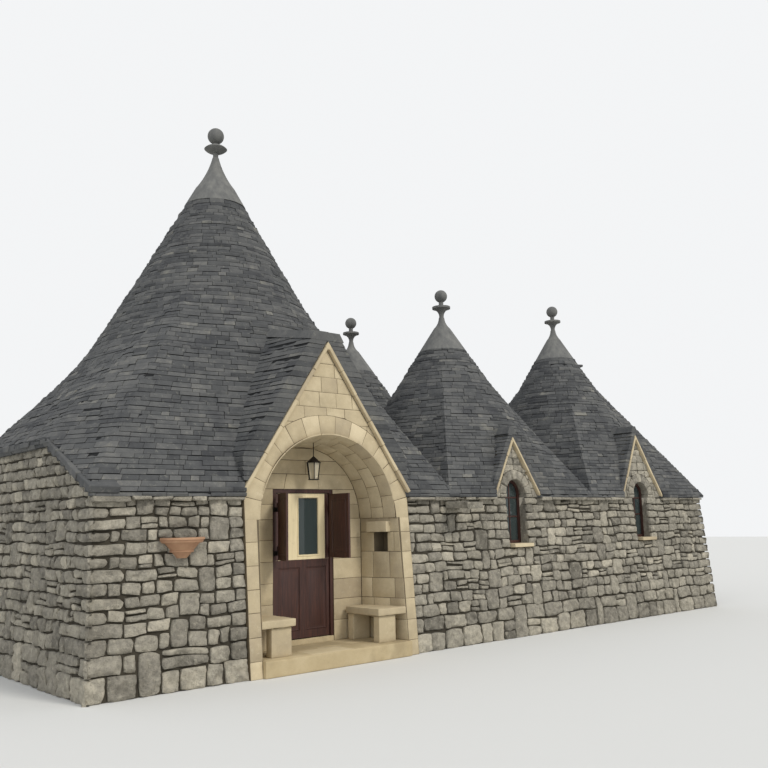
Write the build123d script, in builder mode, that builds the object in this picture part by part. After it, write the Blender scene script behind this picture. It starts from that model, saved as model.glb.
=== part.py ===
"""Trullo house: a dry-stone house with four conical roofs, a gabled entrance porch and two gabled windows.

Millimetres, +Z up. The origin is on the ground under the middle of the entrance, on the line of
the facade. +X runs along the facade to the right and +Y runs into the building.
"""
import math
import os

from build123d import *

os.makedirs("parts", exist_ok=True)

# Heights above the lowest ground
eave_height = 2130.0
raised_eave = 2810.0
floor_top = 220.0

# Facade, ends and depth, measured from the entrance axis and the facade line
left_end = -3320.0
right_end = 9430.0
main_depth = 6500.0
right_depth = 4150.0
facade_batter = 0.078
side_batter = 0.037

# Rooms inside the walls, each from and to along X and along Y
main_room_x = (-2150.0, 2150.0)
main_room_y = (1150.0, 5400.0)
middle_room_x = (2850.0, 5050.0)
front_room_y = (750.0, 3050.0)
back_room_y = (3550.0, 5700.0)
right_room_x = (5950.0, 8700.0)
right_room_y = (750.0, 3350.0)
wall_joint_x = 5500.0

# Archways through the cross walls
archway_width = 800.0
archway_spring = 1600.0
main_archway_y = 1950.0
middle_archway_x = 3950.0
right_archway_y = 1950.0

# Raised left wall
kink_depth = 1530.0
raised_back = 4150.0

# Roofs
eave_overhang = 45.0
edge_thickness = 50.0
main_axis = (0.0, 3270.0)
main_tip = 7870.0
main_slope = 1.79
main_cap_drop = 850.0
main_skirt_top = 5300.0
main_front_pitch = 1.47
main_left_pitch = 1.05
main_corner_pitch = 0.92
main_valley_pitch = 2.2
main_haunch = (2000.0, 3000.0)
main_shoulder = (1480.0, 4160.0)
main_dome_tip = 6300.0
small_cap_drop = 650.0
small_eave_pitch = 1.6
small_end_pitch = 1.5
small_valley_pitch = 1.7
small_brow_pitch = 2.4
roof_valley_x = 5630.0
room_valley_y = 3225.0
small_dome_radius = 1050.0
small_haunch = (980.0, 2600.0)
small_shoulder = (740.0, 3350.0)
small_dome_drop = 900.0
dome_eye = 60.0
middle_axis = (3930.0, 1940.0)
middle_tip = 5440.0
middle_slope = 1.54
back_axis = (3930.0, 4580.0)
back_tip = 5440.0
back_slope = 1.46
right_axis = (7350.0, 2070.0)
right_tip = 5670.0
right_slope = 1.65

# Porch
porch_half = 1340.0
porch_face_apex = 4130.0
porch_lean = 60.0
porch_crest_rise = 160.0
porch_rake_foot = 2170.0
porch_roof_thickness = 250.0
porch_ridge_rise = 0.2
porch_verge = 20.0
coping_nose = 70.0
coping_depth = 330.0
coping_thickness = 60.0
coping_gap = 4.0
porch_roof_run = 1500.0
porch_depth = 1150.0
alcove_depth = 800.0
arch_radius = 1155.0
arch_centre = 1845.0
vault_run_out = 100.0
impost_height = 1850.0
jamb_half_front = 1170.0
jamb_half_back = 1000.0
porch_floor_top = 200.0
step_nose = 60.0

# Doorway and door
doorway_half = 500.0
doorway_top = 2255.0
sill_top = 270.0
frame_width = 50.0
frame_depth = (812.0, 872.0)
leaf_thickness = 45.0
leaf_front = 830.0
leaf_bottom = 280.0
leaf_top = 2198.0
leaf_hinge_gap = 5.0
leaf_lock_gap = 10.0
door_hinge_inset = (250.0, 300.0)
rail_height = 1310.0
panel_recess = 10.0
pane_width = 330.0
pane_offset = 100.0
pane_margin = 60.0
hinge_radius = 9.0
pin_radius = 4.0
pin_clearance = 0.3
knuckle_height = 60.0
plate_thickness = 5.0
plate_reach = 60.0
stile_width = 100.0
glass_thickness = 8.0

# Shutters on the upper half of the door
shutter_thickness = 28.0
shutter_front = 780.0
shutter_width = 436.0
shutter_bottom = 1320.0
shutter_top = 2190.0
shutter_hinge_inset = (120.0, 180.0)
left_shutter_open = 110.0
right_shutter_open = 90.0

# Windows under the small gables
middle_gable_x = 3730.0
middle_gable_apex = 3030.0
middle_gable_half = 550.0
right_gable_x = 7280.0
right_gable_apex = 3230.0
right_gable_half = 650.0
window_half = 230.0
window_bottom = 1350.0
window_spring = 2190.0
window_setback = 330.0
window_frame_width = 45.0
window_frame_thickness = 60.0
gable_roof_thickness = 120.0

# Niche in the right side of the porch
niche_depth = 60.0
niche_y = (330.0, 560.0)
niche_z = (1380.0, 1650.0)
niche_lintel_z = (1650.0, 1800.0)
niche_lintel_y = (270.0, 620.0)
niche_lintel_nose = 90.0

# Benches in the porch
bench_inner = 660.0
bench_top = 650.0
bench_thickness = 100.0
bench_front = 40.0
bench_back = 750.0
leg_inset = 40.0
leg_length = 125.0
leg_width = 300.0

# Wall bowl and lantern
bowl_x = -2190.0
bowl_radius = 260.0
bowl_foot_radius = 60.0
bowl_foot = 1435.0
bowl_rim = 1665.0
bowl_wall = 22.0
bowl_lip = 25.0
lantern_y = 560.0
lantern_foot = 2370.0
lantern_shoulder = 2600.0
lantern_top = 2690.0
lantern_radius = 95.0
lantern_foot_radius = 65.0
lantern_plate = 10.0
lantern_bar_radius = 6.0
lantern_sides = 6
lantern_glass_gap = 0.3

# Window sills, eave slabs and valley spout
window_sill_thickness = 60.0
window_sill_nose = 50.0
eave_slab_thickness = 45.0
eave_slab_nose = 75.0
spout_x = 2250.0
spout_width = 330.0
spout_nose = 300.0
spout_z = (1960.0, 2060.0)
spout_fall = 12.0

# Caps and finials
main_cap_foot = 505.0
main_shoulder_radius = 330.0
main_shoulder_drop = 530.0
main_waist_radius = 150.0
main_waist_drop = 230.0
main_neck_radius = 52.0
main_neck_rise = 50.0
main_disc_radius = 190.0
main_disc_rise = 207.0
main_disc_half = 75.0
main_ball_radius = 137.0
main_ball_rise = 233.0
lens_share = (0.62, 0.7)
finial_step = 8.0
small_cap_nose = 15.0
small_cap_bend = 200.0
small_bend_radius = 72.0
small_bend_drop = 95.0
small_neck_radius = 50.0
small_waist_rise = 35.0
small_cup_radius = 165.0
small_cup_rise = 205.0
small_cup_rim = 35.0
small_cup_bend = (75.0, 120.0)
small_ball_radius = 115.0
small_ball_rise = 405.0

window_foot = window_bottom + window_sill_thickness
main_cap_height = main_tip - main_cap_drop
main_disc_height = main_tip + main_disc_rise
main_ball_height = main_disc_height + main_ball_rise
porch_crest = porch_face_apex + porch_crest_rise
porch_ridge = (0, 1, porch_ridge_rise)
porch_run = (porch_depth + coping_nose) * math.hypot(1, porch_ridge_rise)
jamb_splay = (jamb_half_front - jamb_half_back) / alcove_depth
facade = Plane(origin=(0, 0, 0), x_dir=(1, 0, 0), z_dir=(0, -1, facade_batter))
left_face = Plane(origin=(left_end, 0, 0), x_dir=(0, 1, 0), z_dir=(-1, 0, side_batter))
right_face = Plane(origin=(right_end, 0, 0), x_dir=(0, 1, 0), z_dir=(1, 0, side_batter))
back_face = Plane(origin=(0, main_depth, 0), x_dir=(1, 0, 0), z_dir=(0, 1, side_batter))
right_back_face = Plane(origin=(0, right_depth, 0), x_dir=(1, 0, 0), z_dir=(0, 1, side_batter))
eave_top = eave_height + edge_thickness
facade_at_eave = facade_batter * eave_height
side_at_eave = side_batter * eave_height


def block(x, y, z, mode=Mode.ADD):
    """A squared mass between two values along each axis."""
    with Locations(((x[0] + x[1]) / 2, (y[0] + y[1]) / 2, (z[0] + z[1]) / 2)):
        Box(x[1] - x[0], y[1] - y[0], z[1] - z[0], mode=mode)


def write(piece, name):
    """Label a finished piece and write it to its own file."""
    piece.part.label = name
    export_step(piece.part, f"parts/{name}.step")


def archway(plane_at, width, spring, depth, mode=Mode.SUBTRACT):
    """A round-headed opening through a wall, standing on the floor at the plane's origin."""
    with BuildSketch(plane_at) as opening:
        with Locations((0, spring / 2)):
            Rectangle(width, spring)
        with Locations((0, spring)):
            Circle(width / 2)
    extrude(opening.sketch, amount=depth, mode=mode)


def cheek(x, y, z, rise_x, rise_y):
    """A sloping plane through one point, with its rise along X and along Y."""
    return Plane(origin=(x, y, z), z_dir=(-rise_x, -rise_y, 1))


def cone(axis, foot, tip, slope, cut, mode=Mode.ADD):
    """An upright cone, cut off level below its tip."""
    with BuildSketch(Plane(origin=(axis[0], axis[1], 0), x_dir=(1, 0, 0), z_dir=(0, -1, 0))) as half:
        with BuildLine() as outline:
            Polyline(
                (0, foot), ((tip - foot) / slope, foot), ((tip - cut) / slope, cut), (0, cut), close=True,
            )
        make_face(outline.line)
    revolve(half.sketch, axis=Axis((axis[0], axis[1], 0), (0, 0, 1)), mode=mode)


def roof_form(x, y, axis, tip, slope, pitches):
    """A cone over a squared skirt, with the pitches of the skirt's left, right, front and back cheeks."""
    left, right, front, back = pitches
    block(x, y, (eave_height, tip - small_cap_drop))
    for side in (
        cheek(x[0], 0, eave_top, left, 0), cheek(x[1], 0, eave_top, -right, 0),
        cheek(0, y[0], eave_top, 0, front), cheek(0, y[1], eave_top, 0, -back),
    ):
        split(bisect_by=side, keep=Keep.BOTTOM)
    cone(axis, eave_height, tip, slope, tip - small_cap_drop)
    block(x, y, (eave_height, tip), mode=Mode.INTERSECT)


def inner_dome(axis, radius, haunch, shoulder, tip):
    """The corbelled room under a cone: it springs from the wall tops and leans in more at each stage."""
    with BuildSketch(Plane(origin=(axis[0], axis[1], 0), x_dir=(1, 0, 0), z_dir=(0, -1, 0))) as half:
        with BuildLine() as outline:
            Polyline(
                (0, eave_height), (radius, eave_height), haunch, shoulder, (dome_eye, tip), (0, tip),
                close=True,
            )
        make_face(outline.line)
    revolve(half.sketch, axis=Axis((axis[0], axis[1], 0), (0, 0, 1)), mode=Mode.SUBTRACT)


def small_dome(axis, tip):
    """The corbelled room under one of the three small cones."""
    inner_dome(axis, small_dome_radius, small_haunch, small_shoulder, tip - small_dome_drop)


def gable_profile(centre, half, foot, apex, base, thickness=0.0, lean=0.0, crest=None,
                  mode=Mode.ADD):
    """The outline of a gable on the facade, raised by its roof's thickness and cut level at its crest."""
    left_slope = (apex - foot) / (half + lean)
    right_slope = (apex - foot) / (half - lean)
    left_foot = foot + thickness * math.hypot(1, left_slope)
    right_foot = foot + thickness * math.hypot(1, right_slope)
    meet = (right_foot + right_slope * half - left_foot - left_slope * half) / (left_slope + right_slope)
    top = left_foot + left_slope * (half + meet)
    ridge = [(centre + meet, top)]
    if crest is not None and crest < top:
        ridge = [
            (centre - half + (crest - left_foot) / left_slope, crest),
            (centre + half - (crest - right_foot) / right_slope, crest),
        ]
    with BuildLine() as outline:
        Polyline(
            (centre - half, base), (centre - half, left_foot), *ridge, (centre + half, right_foot),
            (centre + half, base), close=True,
        )
    make_face(outline.line, mode=mode)


def porch_profile(base, thickness=0.0, mode=Mode.ADD):
    """The outline of the porch gable, or of its roof at some thickness."""
    gable_profile(0, porch_half, porch_rake_foot, porch_face_apex, base, thickness, porch_lean, porch_crest,
                  mode)


# Walls

with BuildPart() as left_wall_mass:
    with BuildSketch(Plane.YZ.offset(left_end - eave_overhang)):
        with BuildLine():
            Polyline(
                (0, 0), (0, eave_height), (kink_depth, raised_eave), (raised_back, raised_eave),
                (main_depth, eave_height), (main_depth, 0), close=True,
            )
        make_face()
    extrude(amount=main_room_x[0] - left_end + eave_overhang)

with BuildPart() as left_wall:
    add(left_wall_mass.part)
    split(bisect_by=left_face, keep=Keep.BOTTOM)
    split(bisect_by=facade, keep=Keep.BOTTOM)
    split(bisect_by=back_face, keep=Keep.BOTTOM)
write(left_wall, "left_wall")

with BuildPart() as front_wall_left:
    block((main_room_x[0], -porch_half), (0, porch_depth), (0, eave_height))
    split(bisect_by=facade, keep=Keep.BOTTOM)
write(front_wall_left, "front_wall_left")

with BuildPart() as front_wall_center:
    block((porch_half, middle_room_x[0]), (0, porch_depth), (0, eave_height))
    split(bisect_by=facade, keep=Keep.BOTTOM)
write(front_wall_center, "front_wall_center")

for name, start, end, window_x in (
    ("window_wall_middle", middle_room_x[0], wall_joint_x, middle_gable_x),
    ("window_wall_right", wall_joint_x, right_room_x[1], right_gable_x),
):
    with BuildPart() as window_wall:
        block((start, end), (0, front_room_y[0]), (0, eave_height))
        block((window_x - window_half, window_x + window_half), (0, front_room_y[0]),
              (window_bottom, eave_height), mode=Mode.SUBTRACT)
        split(bisect_by=facade, keep=Keep.BOTTOM)
    write(window_wall, name)

with BuildPart() as right_wall:
    block((right_room_x[1], right_end), (0, right_depth), (0, eave_height))
    split(bisect_by=facade, keep=Keep.BOTTOM)
    split(bisect_by=right_face, keep=Keep.BOTTOM)
    split(bisect_by=right_back_face, keep=Keep.BOTTOM)
write(right_wall, "right_wall")

with BuildPart() as back_wall_main:
    block((main_room_x[0], middle_room_x[0]), (main_room_y[1], main_depth), (0, eave_height))
    split(bisect_by=back_face, keep=Keep.BOTTOM)
write(back_wall_main, "back_wall_main")

with BuildPart() as back_wall_middle:
    block((middle_room_x[0], right_room_x[0]), (back_room_y[1], main_depth), (0, eave_height))
    split(bisect_by=back_face, keep=Keep.BOTTOM)
write(back_wall_middle, "back_wall_middle")

with BuildPart() as back_wall_right:
    block((right_room_x[0], right_room_x[1]), (right_room_y[1], right_depth), (0, eave_height))
    split(bisect_by=right_back_face, keep=Keep.BOTTOM)
write(back_wall_right, "back_wall_right")

with BuildPart() as cross_wall_main:
    block((main_room_x[1], middle_room_x[0]), (porch_depth, main_room_y[1]), (0, eave_height))
    archway(Plane(origin=(main_room_x[1], main_archway_y, floor_top), x_dir=(0, 1, 0), z_dir=(1, 0, 0)),
            archway_width, archway_spring - floor_top, middle_room_x[0] - main_room_x[1])
write(cross_wall_main, "cross_wall_main")

with BuildPart() as cross_wall_rooms:
    block(middle_room_x, (front_room_y[1], back_room_y[0]), (0, eave_height))
    archway(Plane(origin=(middle_archway_x, back_room_y[0], floor_top), x_dir=(1, 0, 0), z_dir=(0, -1, 0)),
            archway_width, archway_spring - floor_top, back_room_y[0] - front_room_y[1])
write(cross_wall_rooms, "cross_wall_rooms")

with BuildPart() as cross_wall_right:
    block((middle_room_x[1], right_room_x[0]), (front_room_y[0], back_room_y[1]), (0, eave_height))
    archway(Plane(origin=(middle_room_x[1], right_archway_y, floor_top), x_dir=(0, 1, 0), z_dir=(1, 0, 0)),
            archway_width, archway_spring - floor_top, right_room_x[0] - middle_room_x[1])
write(cross_wall_right, "cross_wall_right")

with BuildPart() as room_floors:
    block(main_room_x, main_room_y, (0, floor_top))
    block(middle_room_x, front_room_y, (0, floor_top))
    block(middle_room_x, back_room_y, (0, floor_top))
    block(right_room_x, right_room_y, (0, floor_top))
write(room_floors, "room_floors")

# Porch: piers beside the entrance, the gable and vault over it, floor and door wall

with BuildPart() as porch_piers:
    with BuildSketch():
        with BuildLine():
            Polyline(
                (jamb_half_front, 0), (porch_half, 0), (porch_half, porch_depth),
                (jamb_half_back, porch_depth), (jamb_half_back, alcove_depth), close=True,
            )
        make_face()
        mirror(about=Plane.YZ)
    extrude(amount=impost_height)
    block((0, jamb_half_front + niche_depth), niche_y, niche_z, mode=Mode.SUBTRACT)
    split(bisect_by=facade, keep=Keep.BOTTOM)
write(porch_piers, "porch_piers")

with BuildPart() as door_wall_sides:
    for inner, outer in ((-jamb_half_back, -doorway_half), (doorway_half, jamb_half_back)):
        block((inner, outer), (alcove_depth, porch_depth), (0, impost_height))
write(door_wall_sides, "door_wall_sides")

with BuildPart() as porch_gable:
    with BuildSketch(Plane.XZ.offset(coping_nose)):
        porch_profile(0)
    extrude(amount=porch_run, dir=porch_ridge)
    split(bisect_by=Plane.XY.offset(impost_height), keep=Keep.TOP)
    split(bisect_by=Plane.XZ.offset(-porch_depth), keep=Keep.TOP)
    with BuildSketch(Plane.XZ.offset(vault_run_out)) as arch_mouth:
        with Locations((0, arch_centre)):
            Circle(arch_radius)
    with BuildSketch(Plane.XZ.offset(-alcove_depth)) as arch_back:
        with Locations((0, arch_centre)):
            Circle(arch_radius - (jamb_half_front - jamb_half_back))
    loft(sections=[arch_mouth.sketch, arch_back.sketch], mode=Mode.SUBTRACT)
    block((-doorway_half, doorway_half), (lantern_y, porch_depth), (impost_height, doorway_top),
          mode=Mode.SUBTRACT)
    split(bisect_by=facade, keep=Keep.BOTTOM)
write(porch_gable, "porch_gable")

with BuildPart() as porch_envelope:
    with BuildSketch(Plane.XZ.offset(coping_nose)):
        porch_profile(0, porch_roof_thickness)
    extrude(amount=porch_run, dir=porch_ridge)
    split(bisect_by=Plane.XY.offset(impost_height), keep=Keep.TOP)
    split(bisect_by=Plane.XZ.offset(-porch_depth), keep=Keep.TOP)

with BuildPart() as porch_floor:
    with BuildSketch():
        with BuildLine():
            Polyline(
                (-jamb_half_front, -step_nose), (jamb_half_front, -step_nose), (jamb_half_front, 0),
                (jamb_half_back, alcove_depth), (-jamb_half_back, alcove_depth), (-jamb_half_front, 0),
                close=True,
            )
        make_face()
    extrude(amount=porch_floor_top)
write(porch_floor, "porch_floor")

with BuildPart() as door_sill:
    block((-doorway_half, doorway_half), (alcove_depth, porch_depth), (0, sill_top))
write(door_sill, "door_sill")

# Roofs: each cone stands on the wall tops, open below as a corbelled dome, under a cap and a finial

eave_front = facade_at_eave - eave_overhang
main_roof_left = left_end + side_batter * raised_eave - eave_overhang
main_roof_back = main_depth - side_at_eave + eave_overhang
right_roof_end = right_end - side_at_eave + eave_overhang
right_roof_back = right_depth - side_at_eave + eave_overhang
middle_roof_left = main_room_x[1]
back_roof_right = right_room_x[0] + eave_overhang
front_top_rise = (raised_eave - eave_height) / kink_depth
back_top_rise = (raised_eave - eave_height) / (main_depth - raised_back)
raised_top = raised_eave + edge_thickness

with BuildPart() as main_roof:
    block((main_roof_left, spout_x), (eave_front, main_roof_back), (eave_height, main_skirt_top))
    for side in (
        cheek(main_roof_left, 0, raised_top, main_left_pitch, 0),
        cheek(main_roof_left, kink_depth, raised_top, main_corner_pitch, front_top_rise),
        cheek(main_roof_left, raised_back, raised_top, main_corner_pitch, -back_top_rise),
        cheek(0, eave_front, eave_top, 0, main_front_pitch),
        cheek(0, main_roof_back, eave_top, 0, -main_front_pitch),
        cheek(spout_x, 0, eave_top, -main_valley_pitch, 0),
    ):
        split(bisect_by=side, keep=Keep.BOTTOM)
    cone(main_axis, eave_height, main_tip, main_slope, main_cap_height)
    split(bisect_by=Plane.XZ.offset(-eave_front), keep=Keep.BOTTOM)
    inner_dome(main_axis, main_room_x[1], main_haunch, main_shoulder, main_dome_tip)
    block((-doorway_half, doorway_half), (porch_depth, main_axis[1]), (eave_height, doorway_top),
          mode=Mode.SUBTRACT)
    add(left_wall_mass.part, mode=Mode.SUBTRACT)
    add(porch_envelope.part, mode=Mode.SUBTRACT)
write(main_roof, "main_roof")

with BuildPart() as gable_envelopes:
    with BuildSketch(Plane.XZ):
        gable_profile(middle_gable_x, middle_gable_half, eave_height, middle_gable_apex, eave_height,
                      gable_roof_thickness)
        gable_profile(right_gable_x, right_gable_half, eave_height, right_gable_apex, eave_height,
                      gable_roof_thickness)
    extrude(amount=-front_room_y[0])

with BuildPart() as middle_roof:
    roof_form(
        (middle_roof_left, roof_valley_x), (eave_front, room_valley_y), middle_axis, middle_tip, middle_slope,
        (small_valley_pitch, small_valley_pitch, small_eave_pitch, small_valley_pitch),
    )
    split(bisect_by=cheek(0, eave_front, eave_top, 0, small_brow_pitch), keep=Keep.BOTTOM)
    small_dome(middle_axis, middle_tip)
    add(main_roof.part, mode=Mode.SUBTRACT)
    add(porch_envelope.part, mode=Mode.SUBTRACT)
    add(gable_envelopes.part, mode=Mode.SUBTRACT)
write(middle_roof, "middle_roof")

with BuildPart() as back_roof:
    roof_form(
        (middle_roof_left, back_roof_right), (room_valley_y, main_roof_back), back_axis, back_tip, back_slope,
        (small_valley_pitch, small_eave_pitch, small_valley_pitch, small_eave_pitch),
    )
    split(bisect_by=cheek(0, main_roof_back, eave_top, 0, -small_brow_pitch), keep=Keep.BOTTOM)
    split(bisect_by=cheek(back_roof_right, 0, eave_top, -small_brow_pitch, 0), keep=Keep.BOTTOM)
    small_dome(back_axis, back_tip)
    add(main_roof.part, mode=Mode.SUBTRACT)
write(back_roof, "back_roof")

with BuildPart() as right_roof:
    roof_form(
        (roof_valley_x, right_roof_end), (eave_front, right_roof_back), right_axis, right_tip, right_slope,
        (small_valley_pitch, small_end_pitch, small_eave_pitch, small_eave_pitch),
    )
    for side in (
        cheek(0, eave_front, eave_top, 0, small_brow_pitch),
        cheek(0, right_roof_back, eave_top, 0, -small_brow_pitch),
        cheek(right_roof_end, 0, eave_top, -small_brow_pitch, 0),
    ):
        split(bisect_by=side, keep=Keep.BOTTOM)
    small_dome(right_axis, right_tip)
    add(back_roof.part, mode=Mode.SUBTRACT)
    add(gable_envelopes.part, mode=Mode.SUBTRACT)
write(right_roof, "right_roof")

with BuildPart() as porch_copings:
    with BuildSketch(Plane.XZ.offset(coping_nose)):
        porch_profile(porch_rake_foot, coping_thickness)
        porch_profile(impost_height, mode=Mode.SUBTRACT)
        with Locations((porch_lean, porch_face_apex)):
            Rectangle(coping_gap, 2 * porch_half, mode=Mode.SUBTRACT)
    extrude(amount=porch_run, dir=porch_ridge)
    split(bisect_by=facade.offset(coping_nose), keep=Keep.BOTTOM)
    split(bisect_by=facade.offset(coping_nose - coping_depth), keep=Keep.TOP)
write(porch_copings, "porch_copings")

with BuildPart() as porch_roof:
    with BuildSketch(Plane.XZ.offset(coping_nose)):
        porch_profile(porch_rake_foot, porch_roof_thickness)
        porch_profile(impost_height, mode=Mode.SUBTRACT)
    extrude(amount=porch_roof_run, dir=porch_ridge)
    split(bisect_by=facade.offset(porch_verge), keep=Keep.BOTTOM)
    add(porch_copings.part, mode=Mode.SUBTRACT)
    add(main_roof.part, mode=Mode.SUBTRACT)
    add(middle_roof.part, mode=Mode.SUBTRACT)
write(porch_roof, "porch_roof")

# Gables over the two windows, with their roofs, frames, panes and sills

for name, wall_x, half, apex in (
    ("window_gable_middle", middle_gable_x, middle_gable_half, middle_gable_apex),
    ("window_gable_right", right_gable_x, right_gable_half, right_gable_apex),
):
    with BuildPart() as window_gable:
        with BuildSketch(Plane.XZ):
            gable_profile(wall_x, half, eave_height, apex, eave_height, gable_roof_thickness)
        extrude(amount=-front_room_y[0])
        with BuildSketch(Plane.XZ):
            with Locations((wall_x, window_spring)):
                Circle(window_half)
            with Locations((wall_x, (window_spring + eave_height) / 2)):
                Rectangle(2 * window_half, window_spring - eave_height)
        extrude(amount=-front_room_y[0], mode=Mode.SUBTRACT)
        split(bisect_by=facade, keep=Keep.BOTTOM)
    write(window_gable, name)

with BuildPart() as window_sills:
    for wall_x in (middle_gable_x, right_gable_x):
        block((wall_x - window_half, wall_x + window_half),
              (-window_sill_nose, window_setback + window_frame_thickness), (window_bottom, window_foot))
    split(bisect_by=facade.offset(window_sill_nose), keep=Keep.BOTTOM)
write(window_sills, "window_sills")

light_half = window_half - window_frame_width
light_foot = window_foot + window_frame_width

with BuildPart() as window_frames:
    for wall_x in (middle_gable_x, right_gable_x):
        with BuildSketch(Plane.XZ.offset(-window_setback)):
            with Locations((wall_x, window_spring)):
                Circle(window_half)
            with Locations((wall_x, (window_spring + window_foot) / 2)):
                Rectangle(2 * window_half, window_spring - window_foot)
            with Locations((wall_x, (window_spring + light_foot) / 2)):
                Rectangle(2 * light_half, window_spring - light_foot, mode=Mode.SUBTRACT)
            with Locations((wall_x, window_spring)):
                Circle(light_half, mode=Mode.SUBTRACT)
        extrude(amount=-window_frame_thickness)
write(window_frames, "window_frames")

with BuildPart() as window_panes:
    for wall_x in (middle_gable_x, right_gable_x):
        with BuildSketch(Plane.XZ.offset(-window_setback - window_frame_thickness / 2 + glass_thickness / 2)):
            with Locations((wall_x, window_spring)):
                Circle(light_half)
            with Locations((wall_x, (window_spring + light_foot) / 2)):
                Rectangle(2 * light_half, window_spring - light_foot)
        extrude(amount=-glass_thickness)
write(window_panes, "window_panes")

# Door frame, door and shutters

leaf_left = -doorway_half + frame_width + leaf_hinge_gap
leaf_right = doorway_half - frame_width - leaf_lock_gap
leaf_back = leaf_front + leaf_thickness
door_pivot = (-doorway_half + frame_width, leaf_back + hinge_radius)
door_hinge_heights = (leaf_bottom + door_hinge_inset[0], leaf_top - door_hinge_inset[1])


def fixed_knuckle(pivot, height, to_x, to_y):
    """The lower half of a hinge: a knuckle with its pin, and the plate that carries it."""
    with Locations((pivot[0], pivot[1], height - knuckle_height / 2)):
        Cylinder(hinge_radius, knuckle_height)
    with Locations((pivot[0], pivot[1], height + knuckle_height / 2)):
        Cylinder(pin_radius, knuckle_height)
    block(to_x, to_y, (height - knuckle_height, height))


def moving_knuckle(pivot, height, to_x, to_y):
    """The upper half of a hinge: a knuckle that turns on the pin, and the plate that it carries."""
    block(to_x, to_y, (height + pin_clearance, height + knuckle_height))
    with Locations((pivot[0], pivot[1], height + (knuckle_height + pin_clearance) / 2)):
        Cylinder(hinge_radius, knuckle_height - pin_clearance)
        Cylinder(pin_radius + pin_clearance, knuckle_height - pin_clearance, mode=Mode.SUBTRACT)


with BuildPart() as door_frame:
    block((-doorway_half, doorway_half), frame_depth, (sill_top, doorway_top))
    block((-doorway_half + frame_width, doorway_half - frame_width), frame_depth,
          (sill_top, doorway_top - frame_width), mode=Mode.SUBTRACT)
    for height in door_hinge_heights:
        fixed_knuckle(door_pivot, height, (-doorway_half, door_pivot[0]),
                      (frame_depth[1], frame_depth[1] + plate_thickness))
write(door_frame, "door_frame")

with BuildPart() as door_leaf:
    block((leaf_left, leaf_right), (leaf_front, leaf_back), (leaf_bottom, rail_height))
    for side in (-1, 1):
        middle = (leaf_left + leaf_right) / 2 + side * (leaf_right - leaf_left) / 4
        half = (leaf_right - leaf_left) / 4 - stile_width / 2
        block((middle - half, middle + half), (leaf_front, leaf_front + panel_recess),
              (leaf_bottom + stile_width, rail_height - stile_width), mode=Mode.SUBTRACT)
        block((middle - half, middle + half), (leaf_back - panel_recess, leaf_back),
              (leaf_bottom + stile_width, rail_height - stile_width), mode=Mode.SUBTRACT)
    moving_knuckle(door_pivot, door_hinge_heights[0], (door_pivot[0], door_pivot[0] + plate_reach),
                   (leaf_back, leaf_back + plate_thickness))
write(door_leaf, "door_leaf")

pane_across = (pane_offset - pane_width / 2, pane_offset + pane_width / 2)

with BuildPart() as door_sash:
    block((leaf_left, leaf_right), (leaf_front, leaf_back), (rail_height, leaf_top))
    block(pane_across, (leaf_front, leaf_back), (rail_height + pane_margin, leaf_top - pane_margin),
          mode=Mode.SUBTRACT)
    moving_knuckle(door_pivot, door_hinge_heights[1], (door_pivot[0], door_pivot[0] + plate_reach),
                   (leaf_back, leaf_back + plate_thickness))
write(door_sash, "door_sash")

with BuildPart() as door_glass:
    middle = (leaf_front + leaf_back) / 2
    block(pane_across, (middle - glass_thickness / 2, middle + glass_thickness / 2),
          (rail_height + pane_margin, leaf_top - pane_margin))
write(door_glass, "door_glass")

# Shutters: made shut, then turned out on their hinges to where they stand open

shutter_pivot_y = shutter_front - hinge_radius
shutter_hinge_heights = (shutter_bottom + shutter_hinge_inset[0], shutter_top - shutter_hinge_inset[1])

with BuildPart() as shutter_left_shut:
    pivot = (-doorway_half + frame_width, shutter_pivot_y)
    block((pivot[0] + leaf_hinge_gap, pivot[0] + shutter_width),
          (shutter_front, shutter_front + shutter_thickness), (shutter_bottom, shutter_top))
    for height in shutter_hinge_heights:
        moving_knuckle(pivot, height, (pivot[0], pivot[0] + plate_reach),
                       (shutter_front - plate_thickness, shutter_front))

with BuildPart() as shutter_left:
    pivot = Axis((-doorway_half + frame_width, shutter_pivot_y, 0), (0, 0, 1))
    add(shutter_left_shut.part.rotate(pivot, -left_shutter_open))
write(shutter_left, "shutter_left")

with BuildPart() as shutter_right_shut:
    pivot = (doorway_half - frame_width, shutter_pivot_y)
    block((pivot[0] - shutter_width, pivot[0] - leaf_hinge_gap),
          (shutter_front, shutter_front + shutter_thickness), (shutter_bottom, shutter_top))
    for height in shutter_hinge_heights:
        moving_knuckle(pivot, height, (pivot[0] - plate_reach, pivot[0]),
                       (shutter_front - plate_thickness, shutter_front))

with BuildPart() as shutter_right:
    pivot = Axis((doorway_half - frame_width, shutter_pivot_y, 0), (0, 0, 1))
    add(shutter_right_shut.part.rotate(pivot, right_shutter_open))
write(shutter_right, "shutter_right")

with BuildPart() as shutter_pintles:
    for side in (-1, 1):
        pivot = (side * (doorway_half - frame_width), shutter_pivot_y)
        for height in shutter_hinge_heights:
            fixed_knuckle(pivot, height, sorted((pivot[0], side * doorway_half)),
                          (shutter_pivot_y, frame_depth[0]))
write(shutter_pintles, "shutter_pintles")

# Benches, niche lintel, wall bowl and lantern

with BuildPart() as bench_slabs:
    with BuildSketch(Plane.XY.offset(bench_top - bench_thickness)):
        with BuildLine():
            Polyline(
                (bench_inner, bench_front), (jamb_half_front - jamb_splay * bench_front, bench_front),
                (jamb_half_front - jamb_splay * bench_back, bench_back), (bench_inner, bench_back),
                close=True,
            )
        make_face()
        mirror(about=Plane.YZ)
    extrude(amount=bench_thickness)
write(bench_slabs, "bench_slabs")

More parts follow.
